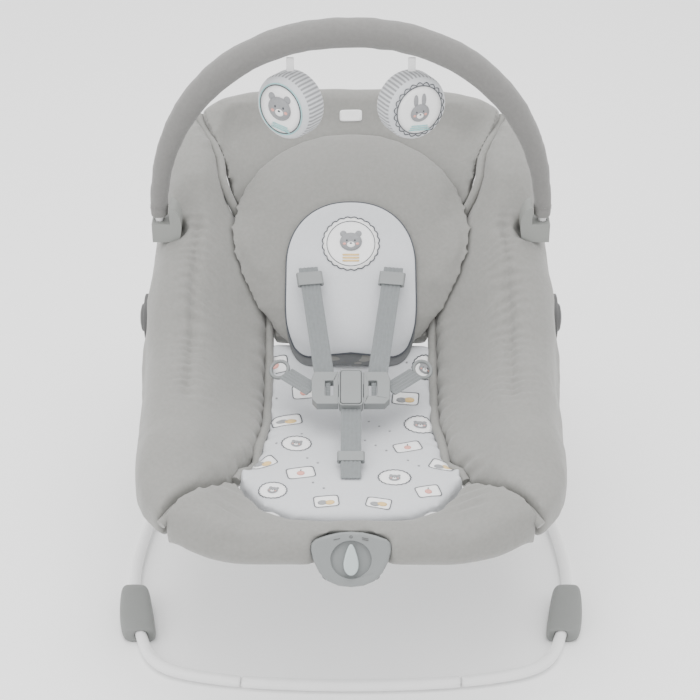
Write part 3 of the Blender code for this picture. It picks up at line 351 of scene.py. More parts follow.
def blown(piece):
    """Places of the points after Cloth has filled the piece."""
    cloth = piece.modifiers.new("fill", "CLOTH")
    cloth.settings.quality = 4
    cloth.settings.mass = 0.3
    cloth.settings.use_pressure = True
    cloth.settings.uniform_pressure_force = PRESSURE
    cloth.settings.effector_weights.gravity = 0.0
    cloth.point_cache.frame_end = SIM_FRAMES
    for step in range(1, SIM_FRAMES + 1):
        bpy.context.scene.frame_set(step)
    mesh = evaluated_mesh(piece)
    places = [v.co.copy() for v in mesh.vertices]
    bpy.data.meshes.remove(mesh)
    piece.modifiers.clear()
    bpy.context.scene.frame_set(1)
    return places


# %% [markdown]
# One function makes any padded piece. Creases and gathers are added after that, on finer faces.


def soft_piece(node, name, finish, draw_in, cap, voxel=0.006, rounds=4):
    """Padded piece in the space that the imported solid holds."""
    piece = remeshed(node, name, finish, voxel, rounds)
    points = piece.data.vertices
    normals = [v.normal.copy() for v in points]
    for v, n in zip(points, normals):
        v.co -= n * draw_in
    start = [v.co.copy() for v in points]
    moved = blown(piece)
    for v, before, after in zip(points, start, moved):
        way = after - before
        v.co = before + way * min(1.0, cap / max(way.length, 1e-9))
    return piece


def with_normals(piece):
    """Points and their normals, read once, because moving a point makes Blender work them out again."""
    piece.data.update()
    normals = [v.normal.copy() for v in piece.data.vertices]
    return list(zip(piece.data.vertices, normals))


def wrinkle(piece, depth, size):
    """Shallow creases that run unevenly over the fabric."""
    for v, normal in with_normals(piece):
        fold = abs(noise.noise(v.co / size)) + 0.4 * abs(noise.noise(v.co * 2.3 / size))
        v.co += normal * depth * (0.35 - fold)


def subdivided(piece):
    """Twice as fine, so that small gathers can be shaped."""
    level = piece.modifiers.new("fine surface", "SUBSURF")
    level.levels = 1
    level.render_levels = 1
    mesh = evaluated_mesh(piece)
    piece.modifiers.clear()
    piece.data = mesh


def finish_soft(piece, node):
    piece.data.shade_smooth()
    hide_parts(node)
    print(piece.name, "faces:", len(piece.data.polygons))


# %% [markdown]
# The two side bolsters are long padded rolls. A sewn channel runs down each, and the fabric gathers
# on both sides of it. The channel is pressed in after the filling, because a remesh would erase it.

# %% Side bolsters
CHANNEL_X = 0.172
CHANNEL_BACK = (0.165, 0.395)
CHANNEL_DEPTH = 0.0060
GATHERS = 0.0100
PUCKERS = 0.0190
CHANNEL_HALF = 0.0075
CHANNEL_FADE = 0.03
CHANNEL_WANDER = 0.004
GATHER_HIGH = 0.0013
GATHER_REACH = 2.6
PUCKER_REACH = 0.016
PUCKER_END = 0.33
FACING_UP = 0.1
SEAM_GAP = 0.0006
CREASE_SIZE = 0.055


def press_channel(piece):
    first, last = CHANNEL_BACK
    for v, normal in with_normals(piece):
        back = v.co.y - FRONT_BAR_Y
        if normal.z < FACING_UP:
            continue
        ends = ease((back - first) / CHANNEL_FADE) * ease((last - back) / CHANNEL_FADE)
        wander = CHANNEL_WANDER * noise.noise(v.co * 18)
        off = (abs(v.co.x) - CHANNEL_X - wander) / CHANNEL_HALF
        groove = math.exp(-off * off)
        reach = math.exp(-(off / GATHER_REACH) ** 2)
        gather = math.sin(2 * math.pi * back / GATHERS + 5.0 * noise.noise(v.co * 30))
        v.co -= normal * ends * (CHANNEL_DEPTH * groove - GATHER_HIGH * reach * gather)


def pucker(piece, depth):
    """Small gathers where the fabric is sewn to its neighbour along the seam."""
    for v, normal in with_normals(piece):
        back = v.co.y - FRONT_BAR_Y
        if normal.z < FACING_UP or back > PUCKER_END:
            continue
        off = (abs(v.co.x) - table(SEAM_LINE, length_at(back))) / PUCKER_REACH
        gather = math.sin(2 * math.pi * back / PUCKERS + 6.0 * noise.noise(v.co * 22))
        v.co += normal * depth * math.exp(-off * off) * gather


for word, _ in SIDES:
    roll = soft_piece("cover_side_" + word, "bolster_" + word, JERSEY, SEAM_GAP, 0.0030)
    wrinkle(roll, 0.0022, CREASE_SIZE)
    subdivided(roll)
    press_channel(roll)
    pucker(roll, 0.0014)
    finish_soft(roll, "cover_side_" + word)
    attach(roll, "seat")

# %% [markdown]
# The back, the rolled foot end and the printed pad are sewn to the bolsters. The small gap between
# two filled panels is what shows as the seam.

# %% Back, foot end and printed pad
for node, name, finish, slot in (
        ("cover_back", "back_panel", JERSEY, "cover_fabric"),
        ("cover_front", "foot_end", JERSEY, "cover_fabric"),
        ("seat_pad", "printed_pad", COTTON, "print_fabric")):
    panel = soft_piece(node, name, finish, SEAM_GAP, 0.0022 if node == "seat_pad" else 0.0028)
    wrinkle(panel, 0.0018, CREASE_SIZE)
    subdivided(panel)
    pucker(panel, 0.0012)
    finish_soft(panel, node)
    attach(panel, "seat")

# %% [markdown]
# A narrow tape of cover fabric lies deep in each seam. It closes the join, as the sewn edges do.

# %% Seam tapes
TAPE_R = 0.0050
TAPE_DEEP = 0.0110
BACK_SEAM = (0.108, 0.606)
BACK_CUTS = 40
CORNER_CUTS = 14
BESIDE = 0.009
BESIDE_CORNER = 0.008
TAPE_SINK = 0.004


def heading(path, i):
    """Direction of a path at its point i, from the points on both sides of it."""
    return (path[min(i + 1, len(path) - 1)] - path[max(i - 1, 0)]).normalized()


def tube_along(name, path, radius, finish, sides=10):
    rings = []
    for i, point in enumerate(path):
        ahead = heading(path, i)
        across = ahead.orthogonal() if i == 0 else across - ahead * across.dot(ahead)
        across = across.normalized()
        out = ahead.cross(across)
        rings.append([point + (across * math.cos(a) + out * math.sin(a)) * radius
                      for a in (2 * math.pi * k / sides for k in range(sides))])
    return closed_loft(name, rings, finish)


def closed_loft(name, rings, finish):
    bm = bmesh.new()
    rows = [[bm.verts.new(p) for p in ring] for ring in rings]
    for a, b in zip(rows, rows[1:]):
        for k in range(len(a)):
            n = (k + 1) % len(a)
            bm.faces.new((a[k], a[n], b[n], b[k]))
    bm.faces.new(rows[0])
    bm.faces.new(rows[-1])
    mesh = mesh_of(bm, name)
    mesh.shade_smooth()
    mesh.set_sharp_from_angle(angle=math.radians(50))
    return link(name, mesh, finish)


def surface_of(*pieces):
    graph = bpy.context.evaluated_depsgraph_get()
    return [BVHTree.FromObject(p, graph) for p in pieces]


def land(trees, start, way):
    """First point of the surfaces along a ray, or None."""
    best = None
    for tree in trees:
        hit, _, _, far = tree.ray_cast(start, way)
        if hit is not None and (best is None or far < best[1]):
            best = (hit, far)
    return best and best[0]


def height_at(trees, x, s):
    """How far the cover stands above the sitting surface."""
    hit = land(trees, on_seat(x, s, 0.15), -seat_out(s))
    return (hit - on_seat(x, s)).dot(seat_out(s)) if hit else 0.0


print("tape radius:", TAPE_R)

# %% [markdown]
# Each tape follows its seam at a set depth under the higher of the two panels beside it, so that it
# shows only as the bottom of the crease.

# %% Lay the tapes
COVER = [bpy.data.objects[name] for name in
         ("bolster_left", "bolster_right", "back_panel", "foot_end", "printed_pad")]
cover_trees = surface_of(*COVER)
for word, side in SIDES:
    paths = {"back": [], "corner": []}
    for k in range(BACK_CUTS + 1):
        s = BACK_SEAM[0] + (BACK_SEAM[1] - BACK_SEAM[0]) * k / BACK_CUTS
        x = side * (table(SEAM_LINE, s) - SEAM_GAP)
        high = max(height_at(cover_trees, x - side * BESIDE, s),
                   height_at(cover_trees, x + side * BESIDE, s))
        paths["back"].append(on_seat(x, s, high - TAPE_DEEP))
    (x0, s0), (x1, s1) = CORNER_SEAM
    for k in range(CORNER_CUTS + 1):
        t = k / CORNER_CUTS
        x, s = side * (x0 + (x1 - x0) * t), s0 + (s1 - s0) * t
        high = max(height_at(cover_trees, x - side * BESIDE_CORNER, s),
                   height_at(cover_trees, x, s + BESIDE_CORNER))
        paths["corner"].append(on_seat(x, s, high - TAPE_DEEP - TAPE_SINK * t))
    for kind, path in paths.items():
        tape = tube_along("seam_tape_%s_%s" % (kind, word), path, TAPE_R, JERSEY)
        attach(tape, "seat")
print("tapes: 4")

# %% [markdown]
# The body cushion is a plump round pad that lies on the back. The pale panel on it is thin and flat.

# %% Cushion
cushion = soft_piece("body_cushion", "cushion", JERSEY, 0.0012, 0.0022, 0.0045, 14)
wrinkle(cushion, 0.0010, 0.060)
subdivided(cushion)
finish_soft(cushion, "body_cushion")
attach(cushion, "seat")

# %% [markdown]
# The pale panel is shaped like a tombstone. Its outline is a formula of the angle round its middle,
# which keeps the head round and the foot almost square. The band shows as a strip below its foot.

# %% Outlines of the panel and its band
PANEL_S = 0.405
PANEL_HALF = 0.072
PANEL_HEAD = 0.078
PANEL_FOOT = 0.100
PANEL_THICK = 0.0034
BAND_WIDE = 0.009
PIPING_R = 0.0011
RINGS_IN_PANEL = 14
AROUND = 96


def panel_outline(a):
    """Tombstone: a round head, straight sides, small corners and a foot that bows down."""
    c, s = math.cos(a), math.sin(a)
    if s >= 0:
        return PANEL_HALF * math.copysign(abs(c) ** 0.9, c), PANEL_HEAD * abs(s) ** 0.9
    return ((PANEL_HALF + 0.002 * min(-s * 2, 1.0)) * math.copysign(abs(c) ** 0.28, c),
            -PANEL_FOOT * (0.72 * abs(s) ** 0.36 + 0.28 * s * s))


def band_outline(a):
    x, s = panel_outline(a)
    return x * 1.005, s - BAND_WIDE * ease(-math.sin(a) * 2.5)


print("panel:", 2 * PANEL_HALF, "wide")

# %% [markdown]
# A panel with a flat underside would sink into the plump cushion. Each point is therefore lifted
# from the height of what lies under it, averaged over a few neighbours so that it stays smooth.

# %% Quilted panels that follow their bed
BED_REACH = 0.007
BED_SINK = 0.0002
under_panel = surface_of(cushion, *COVER)


def bed(x, s):
    """Height of what the panel lies on, smoothed over a few neighbours."""
    spots = [(x + u * BED_REACH, s + v * BED_REACH) for u in (-1, 0, 1) for v in (-1, 0, 1)]
    mean = sum(height_at(under_panel, *p) for p in spots) / 9
    return max(mean, height_at(under_panel, x, s) - BED_SINK)


def quilted(name, outline, base, thick, finish):
    """Padded panel that follows its bed: flat underneath, rounded over its edge."""
    bm = bmesh.new()
    sheets = []
    for top in (1, 0):
        rows = []
        for k in range(1, RINGS_IN_PANEL + 1):
            r = math.sin(math.pi / 2 * k / RINGS_IN_PANEL)
            row = []
            for c in range(AROUND):
                x, s = outline(2 * math.pi * c / AROUND)
                x, s = x * r, PANEL_S + s * r
                puff = thick * (0.30 + 0.70 * math.sqrt(1 - r ** 10)) if top else 0.0
                row.append(bm.verts.new(on_seat(x, s, bed(x, s) + base + puff)))
            rows.append(row)
        middle = bm.verts.new(on_seat(0, PANEL_S, bed(0, PANEL_S) + base + thick * top))
        for c in range(AROUND):
            bm.faces.new((middle, rows[0][c], rows[0][(c + 1) % AROUND]))
        sheets.append(rows)
        for a, b in zip(rows, rows[1:]):
            for c in range(AROUND):
                n = (c + 1) % AROUND
                bm.faces.new((a[c], a[n], b[n], b[c]))
    for c in range(AROUND):
        n = (c + 1) % AROUND
        bm.faces.new((sheets[0][-1][c], sheets[0][-1][n], sheets[1][-1][n], sheets[1][-1][c]))
    mesh = mesh_of(bm, name)
    mesh.shade_smooth()
    return link(name, mesh, finish)


print("rings in a panel:", RINGS_IN_PANEL)

# %% [markdown]
# The pale panel lies above the band, and a thin dark piping is sewn round its edge.

# %% Pale panel, band and piping
PIPING_OUT = 1.004
PIPING_LIFT = 0.0036
panel = quilted("pale_panel", panel_outline, 0.0030, PANEL_THICK, COTTON)
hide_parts("head_panel")
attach(panel, "seat")
band = quilted("panel_band", band_outline, 0.0006, 0.0026, BAND)
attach(band, "seat")
edge = []
for c in range(AROUND + 1):
    x, s = panel_outline(2 * math.pi * (c % AROUND) / AROUND)
    edge.append(on_seat(x * PIPING_OUT, PANEL_S + s * PIPING_OUT,
                        bed(x, PANEL_S + s) + PIPING_LIFT))
piping = tube_along("panel_piping", edge, PIPING_R, PRINT["ink"], 8)
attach(piping, "seat")
print("pale panel, band and piping made")

# %% [markdown]
# The arch's sleeve is foam in jersey, held round a hidden rod. Its two ends are hemmed.

# %% Arch sleeve
sleeve = soft_piece("arch_sleeve", "arch_padding", SLEEVE, 0.0006, 0.0018, 0.0035)
wrinkle(sleeve, 0.0012, 0.030)
subdivided(sleeve)
finish_soft(sleeve, "arch_sleeve")
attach(sleeve, "arch")

# %% [markdown]
# Prints and appliques are thin shapes laid on the finished fabric. Each is drawn as an outline
# around a centre, and a ray drops every point of it onto the surface below.

# %% Helpers for prints
LIFT = 0.0004
SKIN = 0.0003
DROP_FROM = 0.06


class Print:
    """Gathers shapes of one ink on one surface into one piece."""

    def __init__(self, name, ink, trees, place, out):
        self.name, self.ink, self.trees = name, ink, trees
        self.place, self.out = place, out
        self.bm = bmesh.new()

    def shape(self, centre, outline, inner=0.0, level=1, rings=4, count=40, turn=0.0):
        cos, sin = math.cos(turn), math.sin(turn)
        rows = []
        for k in range(rings + 1):
            share = max(inner + (1 - inner) * k / rings, 0.02)
            row = []
            for c in range(count):
                u, v = outline(2 * math.pi * c / count)
                u, v = u * share, v * share
                x, y = centre[0] + u * cos - v * sin, centre[1] + u * sin + v * cos
                out = self.out(x, y)
                hit = land(self.trees, self.place(x, y) + out * DROP_FROM, -out)
                row.append(hit and self.bm.verts.new(hit + out * LIFT * level))
            rows.append(row)
        for a, b in zip(rows, rows[1:]):
            for c in range(count):
                n = (c + 1) % count
                corners = (a[c], a[n], b[n], b[c])
                if all(corners):
                    self.bm.faces.new(corners)
        if not inner and all(rows[0]):
            self.bm.faces.new(rows[0])

    def done(self, body, slot):
        mesh = mesh_of(self.bm, self.name)
        piece = link(self.name, mesh, self.ink)
        skin = piece.modifiers.new("thickness", "SOLIDIFY")
        skin.thickness = SKIN
        mesh.shade_smooth()
        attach(piece, body)
        print(piece.name, "faces:", len(mesh.polygons))
        return piece


print("ink lies above the fabric by", LIFT)

# %% [markdown]
# An outline is a function that turns an angle into a point, so one print function can draw a dot, a
# frame or a lace edge.

# %% Outlines and sets of inks
def oval(half_wide, half_high):
    return lambda a: (half_wide * math.cos(a), half_high * math.sin(a))


def scalloped(half_wide, half_high, count, depth):
    def outline(a):
        grow = 1 + depth * abs(math.sin(count * a / 2))
        return half_wide * grow * math.cos(a), half_high * grow * math.sin(a)
    return outline


def squared(half_wide, half_high):
    def outline(a):
        c, s = math.cos(a), math.sin(a)
        return (half_wide * math.copysign(abs(c) ** 0.3, c),
                half_high * math.copysign(abs(s) ** 0.3, s))
    return outline


def print_set(prefix, trees, place, out):
    return {ink: Print(prefix + "_" + ink, finish, trees, place, out)
            for ink, finish in PRINT.items()}


def finish_prints(prints, body, slot):
    """Turn each ink that was used into a piece."""
    for made in prints.values():
        if made.bm.faces:
            made.done(body, slot)
        else:
            made.bm.free()


print("inks:", len(PRINT))

# %% [markdown]
# The animals are plain round faces built from ovals. Each part is given as how far out and up it
# sits and how wide and high it is, in shares of the head's size.

# %% An animal's face
EARS = {"round": (0.68, 0.78, 0.30, 0.30), "long": (0.42, 1.25, 0.24, 0.62)}
EYE = (0.36, 0.12, 0.075, 0.090)
CHEEK = (0.58, -0.20, 0.15, 0.11)
HEAD = (0, 0, 1.0, 0.88)
MUZZLE = (0, -0.28, 0.36, 0.27)
NOSE = (0, -0.16, 0.11, 0.075)


def animal(prints, x, y, size, ears, turn=0.0):
    """Plain round animal face: ears, head, muzzle, eyes, nose and cheeks."""
    def put(ink, spot, level, side=1):
        u, v, half_wide, half_high = spot
        u = side * u
        cos, sin = math.cos(turn), math.sin(turn)
        centre = (x + (u * cos - v * sin) * size, y + (u * sin + v * cos) * size)
        prints[ink].shape(centre, oval(half_wide * size, half_high * size), level=level, rings=2,
                          count=20, turn=turn)
    for side in (-1, 1):
        put("grey", EARS[ears], 2, side)
        put("ink", EYE, 4, side)
        put("pink", CHEEK, 4, side)
    put("grey", HEAD, 3)
    put("white", MUZZLE, 4)
    put("ink", NOSE, 5)


print("kinds of ears:", len(EARS))

# %% [markdown]
# The emblem on the pale panel is a white disc in a scalloped ring, with a plain animal in a striped
# shirt.

# %% Emblem
EMBLEM_S = 0.432
EMBLEM_R = 0.0285
EMBLEM_SCALLOPS = 24
SCALLOP_DEEP = 0.05
SHIRT_STRIPES = 3
SHIRT_STEP = 0.0036


def seat_place(x, s):
    return on_seat(x, s)


def seat_way(x, s):
    return seat_out(s)


emblem = print_set("emblem", surface_of(panel), seat_place, seat_way)
emblem["white"].shape(
    (0, EMBLEM_S), scalloped(EMBLEM_R * 1.08, EMBLEM_R * 1.08, EMBLEM_SCALLOPS, SCALLOP_DEEP), count=96)
emblem["ink"].shape(
    (0, EMBLEM_S), scalloped(EMBLEM_R * 1.10, EMBLEM_R * 1.10, EMBLEM_SCALLOPS, SCALLOP_DEEP),
    inner=0.965, rings=1, count=144, level=2)
emblem["ink"].shape((0, EMBLEM_S), oval(EMBLEM_R * 0.96, EMBLEM_R * 0.96), inner=0.97, rings=1,
                    count=96, level=2)
for row in range(SHIRT_STRIPES):
    emblem["gold"].shape((0, EMBLEM_S - 0.0135 - SHIRT_STEP * row), squared(0.0095, 0.0011), level=2,
                         rings=2, count=24)
animal(emblem, 0, EMBLEM_S + 0.002, 0.0125, "round")
finish_prints(emblem, "seat", "print_fabric")

# %% [markdown]
# The seat pad is printed with small framed pictures, each turned its own way. A list holds where
# each frame sits and which kind it is, and one function draws any of them.

# %% Pictures on the seat pad
PICTURES = (
    (-0.085, 0.300, 0.0150, 0.0110, 0.1, "fruit"), (0.083, 0.296, 0.0140, 0.0130, -0.2, "face"),
    (-0.052, 0.262, 0.0130, 0.0100, 0.1, "fruit"), (0.060, 0.252, 0.0150, 0.0100, -0.1, "hills"),
    (-0.070, 0.214, 0.0170, 0.0100, 0.2, "hills"), (0.075, 0.206, 0.0165, 0.0135, 0.0, "face"),
    (-0.058, 0.168, 0.0150, 0.0110, -0.2, "face"), (0.060, 0.162, 0.0150, 0.0090, 0.3, "fruit"),
    (-0.092, 0.134, 0.0140, 0.0095, 0.5, "hills"), (0.096, 0.128, 0.0140, 0.0095, -0.4, "hills"),
    (-0.052, 0.112, 0.0150, 0.0100, 0.2, "fruit"), (0.045, 0.104, 0.0160, 0.0110, -0.1, "face"),
    (-0.080, 0.082, 0.0140, 0.0100, -0.3, "face"), (0.079, 0.080, 0.0130, 0.0090, 0.3, "fruit"),
    (-0.025, 0.062, 0.0130, 0.0090, 0.1, "hills"), (0.028, 0.058, 0.0130, 0.0080, -0.2, "hills"),
)
SPECKS = 46
SPECK_R = 0.0013
SPECK_CLEAR = 0.020
GOLDEN = 0.618034
SECOND_STEP = 0.754878
PAD_HALF = 0.1


def framed(prints, x, s, half_wide, half_high, turn, kind):
    if kind == "face":
        edge = scalloped(half_wide * 1.05, half_high * 1.25, 20, 0.06)
    else:
        edge = squared(half_wide, half_high)
    prints["white"].shape((x, s), edge, turn=turn)
    prints["ink"].shape((x, s), edge, inner=0.93, rings=1, count=80, level=2, turn=turn)
    if kind == "face":
        animal(prints, x, s - 0.001, half_high * 0.55, "round", turn)
    elif kind == "fruit":
        prints["pink"].shape((x, s - 0.001), oval(half_high * 0.42, half_high * 0.40), level=2,
                             rings=2, count=20)
        prints["ink"].shape((x, s + half_high * 0.42), oval(0.0005, half_high * 0.18), level=3,
                            rings=1, count=12)
    else:
        for shift, ink in ((-0.30, "grey"), (0.28, "gold")):
            centre = (x + half_wide * shift, s - half_high * 0.25)
            prints[ink].shape(centre, oval(half_wide * 0.38, half_high * 0.40), level=2, rings=2,
                              count=20, turn=turn)


pad_piece = bpy.data.objects["printed_pad"]
pictures = print_set("pad", surface_of(pad_piece), seat_place, seat_way)
for picture in PICTURES:
    framed(pictures, *picture)
for k in range(SPECKS):
    across = (math.fmod(k * GOLDEN, 1.0) * 2 - 1) * PAD_HALF
    along_pad = 0.060 + 0.250 * math.fmod(k * SECOND_STEP, 1.0)
    if all(math.hypot(across - p[0], along_pad - p[1]) > SPECK_CLEAR for p in PICTURES):
        pictures["grey"].shape((across, along_pad), oval(SPECK_R, SPECK_R), rings=1, count=10)
finish_prints(pictures, "seat", "print_fabric")

# %% [markdown]
# A plain white label is sewn high on the back.

# %% Back label
label = Print("back_label", PRINT["white"], surface_of(bpy.data.objects["back_panel"]), seat_place,
              seat_way)
label.shape((0, 0.605), squared(0.0130, 0.0065), level=2)
label.done("seat", "print_fabric")

# %% [markdown]
# Webbing is a flat woven band. Its section has small lengthwise ribs, and a smooth path carries it.

# %% Helpers for webbing and tubes
RIBS = 5
RIB_HIGH = 0.00045
PATH_STEPS = 10
WEB_CUTS = 20


def smooth_path(points, steps):
    padded = [points[0] * 2 - points[1]] + list(points) + [points[-1] * 2 - points[-2]]
    path = []
    for a, b, c, d in zip(padded, padded[1:], padded[2:], padded[3:]):
        for k in range(steps):
            t = k / steps
            path.append(0.5 * ((2 * b) + (c - a) * t + (2 * a - 5 * b + 4 * c - d) * t * t
                               + (3 * b - 3 * c + d - a) * t ** 3))
    path.append(points[-1].copy())
    return path


def webbing(name, points, wide, thick, face):
    path = smooth_path(points, PATH_STEPS)
    rings = []
    for i, point in enumerate(path):
        ahead = heading(path, i)
        across = ahead.cross(face).normalized()
        out = across.cross(ahead).normalized()
        ring = []
        for level in (1, -1):
            for k in range(WEB_CUTS + 1):
                t = (k / WEB_CUTS - 0.5) * level
                rib = RIB_HIGH * math.cos(2 * math.pi * RIBS * t)
                ring.append(point + across * wide * t + out * level * (thick / 2 + rib))
        rings.append(ring)
    return closed_loft(name, rings, WEBBING)


print("ribs in a strap:", RIBS)

# %% [markdown]
# The straps meet at the buckle, so their ends are placed from its middle along its own directions.
# Each strap is fixed to the seat at one end and blends over to its tongue at the other.

# %% Shoulder and waist straps
BUCKLE_TILT = math.radians(23.5)
BUCKLE = at(0, 0.2075, 0.2335)
BUCKLE_UP = Vector((0, math.cos(BUCKLE_TILT), math.sin(BUCKLE_TILT)))
BUCKLE_OUT = Vector((0, -math.sin(BUCKLE_TILT), math.cos(BUCKLE_TILT)))
ACROSS = Vector((1, 0, 0))
STRAP_WIDE = 0.0215
STRAP_THICK = 0.0012
TONGUE_X = 0.0283
SHOULDER_X = 0.0475
SHOULDER_AT = (0.3400, 0.3130)
RING_X = 0.0780
RING_AT = (0.2530, 0.2330)
WAIST_WIDE = 0.0190


def by_buckle(across, up, out=0.0):
    """Point measured from the middle of the buckle."""
    return BUCKLE + ACROSS * across + BUCKLE_UP * up + BUCKLE_OUT * out


for word, side in SIDES:
    top = at(side * SHOULDER_X, *SHOULDER_AT)
    low = by_buckle(side * 0.0290, 0.0222, 0.0010)
    strap = webbing("shoulder_webbing_" + word, [top, top.lerp(low, 0.5), low], STRAP_WIDE,
                    STRAP_THICK, Vector((0, 0, 1)))
    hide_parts("shoulder_strap_" + word)
    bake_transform(strap)
    near = by_buckle(side * (TONGUE_X + 0.0125), 0.0010)
    far = near.lerp(at(side * RING_X, *RING_AT), 0.80)
    strap = webbing("waist_webbing_" + word, [near, near.lerp(far, 0.5), far], WAIST_WIDE,
                    STRAP_THICK, BUCKLE_OUT)
    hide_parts("waist_strap_" + word)
    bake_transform(strap)

print("shoulder and waist straps: 4")

# %% [markdown]
# Webbing is folded round a bar in each tongue, and its ribs show there as a small ladder.

# %% Webbing on the tongues
LADDER_STEP = 0.0022
LADDER_CUTS = 32
LADDER_HALF = 0.0088
LADDER_WIDE = 0.0027
LADDER_LOW = -0.0030
for word, side in SIDES:
    middle = by_buckle(side * (TONGUE_X - 0.0036), 0.0)
    rings = []
    for k in range(LADDER_CUTS + 1):
        v = -LADDER_HALF + 2 * LADDER_HALF * k / LADDER_CUTS
        out = 0.0022 + 0.0009 * abs(math.sin(math.pi * v / LADDER_STEP))
        rings.append([middle + BUCKLE_UP * v + ACROSS * u * LADDER_WIDE + BUCKLE_OUT * w
                      for u, w in ((-1, LADDER_LOW), (1, LADDER_LOW), (1, out), (0.5, out + 0.0004),
                                   (-0.5, out + 0.0004), (-1, out))])
    ladder = closed_loft("tongue_webbing_" + word, rings, WEBBING)
    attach(ladder, "tongue_" + word)

print("ladders: 2")

# %% [markdown]
# The crotch strap comes out of a slit in the seat pad and runs up to the buckle.

# %% Crotch strap
slit = on_seat(0, 0.0990, 0.0040)
end = by_buckle(0, -0.0241, 0.0005)
strap = webbing("crotch_webbing", [slit, slit.lerp(end, 0.5), end], STRAP_WIDE, STRAP_THICK,
                Vector((0, 0, 1)))
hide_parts("crotch_strap")
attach(strap, "seat")
print("crotch strap:", round((end - slit).length, 3), "long")

# %% [markdown]
# Each toy is a stuffed drum: a printed face, a striped side and a rounded rim. The stripes are real
# faces of another finish, so they stay sharp from any side.

# %% A stuffed drum
TOY_X = 0.0640
TOY_AT = (0.3498, 0.5040)
TOY_R = 0.0355
TOY_HALF = 0.0185
STRIPES = 48
FACE_RINGS = 8
DOME = 1.06
DOME_DROP = 0.20
RIM_IN = 0.965
RIM_LEVEL = 0.72
SIDE_LEVEL = 0.50
FACE_LEVEL = 0.96


def drum(name, centre, facing):
    up = Vector((0, 0, 1))
    across = up.cross(facing).normalized()
    front = [(TOY_R * k / FACE_RINGS, DOME - DOME_DROP * (k / FACE_RINGS) ** 4)
             for k in range(1, FACE_RINGS)]
    half = front + [(TOY_R * RIM_IN, RIM_LEVEL), (TOY_R, SIDE_LEVEL)]
    profile = half + [(TOY_R, 0.0)] + [(radius, -level) for radius, level in reversed(half)]
    bm = bmesh.new()
    count = STRIPES * 2
    rows = []
    for radius, level in profile:
        rows.append([bm.verts.new(centre + facing * level * TOY_HALF * FACE_LEVEL
                                  + (across * math.cos(a) + up * math.sin(a)) * radius)
                     for a in (2 * math.pi * k / count for k in range(count))])
    side_rows = range(FACE_RINGS - 1, FACE_RINGS + 4)
    for i, (a, b) in enumerate(zip(rows, rows[1:])):
        for k in range(count):
            n = (k + 1) % count
            face = bm.faces.new((a[k], a[n], b[n], b[k]))
            face.material_index = 1 if i in side_rows and k % 2 == 0 else 0
    bm.faces.new(rows[0])
    bm.faces.new(rows[-1])
    mesh = mesh_of(bm, name)
    kinds = [face.material_index for face in mesh.polygons]
    piece = link(name, mesh, COTTON)
    mesh.materials.append(PRINT["grey"])
    for face, index in zip(mesh.polygons, kinds):
        face.material_index = index
    mesh.shade_smooth()
    return piece, across, up


print("stripes round a toy:", STRIPES)

# %% [markdown]
# The bear and the rabbit turn a little outwards. Each has its face and a striped shirt printed on
# the domed front.

# %% Toys
PRINT_R = 0.0262
RING_R = 0.0272
LACE_R = 0.0282
TEAL_R = 0.0288
RING_IN = 0.965
for word, side, turn, kind, node in (("left", -1, 36.0, "round", "toy_bear"),
                                     ("right", 1, 27.0, "long", "toy_rabbit")):
    centre = at(side * TOY_X, *TOY_AT)
    angle = math.radians(turn)
    facing = Vector((side * math.sin(angle), -math.cos(angle), 0))
    toy, across, up = drum("toy_drum_" + word, centre, facing)
    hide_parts(node)
    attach(toy, "toy_" + word)

    def toy_place(x, y, centre=centre, across=across, up=up):
        return centre + across * x + up * y

    def toy_way(x, y, facing=facing):
        return facing

    drawn = print_set("toy_" + word, surface_of(toy), toy_place, toy_way)
    drawn["white"].shape((0, 0), oval(PRINT_R, PRINT_R))
    drawn["ink"].shape((0, 0), oval(RING_R, RING_R), inner=RING_IN, rings=1, count=120, level=2)
    if kind == "long":
        drawn["ink"].shape((0, 0), scalloped(LACE_R, LACE_R, 22, 0.09), inner=RING_IN, rings=1,
                           count=176, level=2)
    else:
        drawn["teal"].shape((0, 0), oval(TEAL_R, TEAL_R), inner=RING_IN, rings=1, count=120, level=2)
    for row in range(SHIRT_STRIPES):
        drawn["teal"].shape((0, -0.0178 - 0.0024 * row), squared(0.0100 + 0.0014 * row, 0.0007),
                            level=2, rings=1, count=24, turn=-0.12)
    animal(drawn, 0, -0.003 if kind == "long" else 0.001, 0.0112 if kind == "long" else 0.0150, kind)
    finish_prints(drawn, "toy_" + word, "toy_plush")

# %% [markdown]
# Three small raised marks stand round the top of the dial: low, off and high.

# %% Marks on the vibration unit
UNIT_TILT = math.radians(35.0)
UNIT_UP = Vector((0, math.sin(UNIT_TILT), math.cos(UNIT_TILT)))
UNIT_OUT = Vector((0, -math.cos(UNIT_TILT), math.sin(UNIT_TILT)))
UNIT_AT = at(0, -0.0120, 0.1740)


def unit_place(x, y):
    return UNIT_AT + ACROSS * x + UNIT_UP * y


def unit_way(x, y):
    return UNIT_OUT


shell = frame["nodes"]["control_front_shell"]
marks = Print("dial_marks", DARK, surface_of(shell), unit_place, unit_way)
marks.shape((0, 0.0213), oval(0.0017, 0.0014), inner=0.6, rings=1, count=24)
for side, rows in ((-1, 1), (1, 2)):
    for row in range(rows):
        marks.shape((side * 0.0140, 0.0190 + 0.0016 * (row - (rows - 1) / 2)), squared(0.0032, 0.0004),
                    rings=1, count=24, turn=-side * 0.2)
marks.done("seat", "dark_plastic")

# %% [markdown]
# Short stitches run beside each hem. Every stitch is a small bead of thread laid on the fabric.

# %% Stitched hems
STITCH_LONG = 0.0030
STITCH_R = 0.0004
STITCH_SIDES = 6
STITCH_DROP = 0.03
STITCH_LIFT = 0.0003
THREAD = cloth_finish("thread", (0.200, 0.198, 0.190), 0.05, 2200.0)


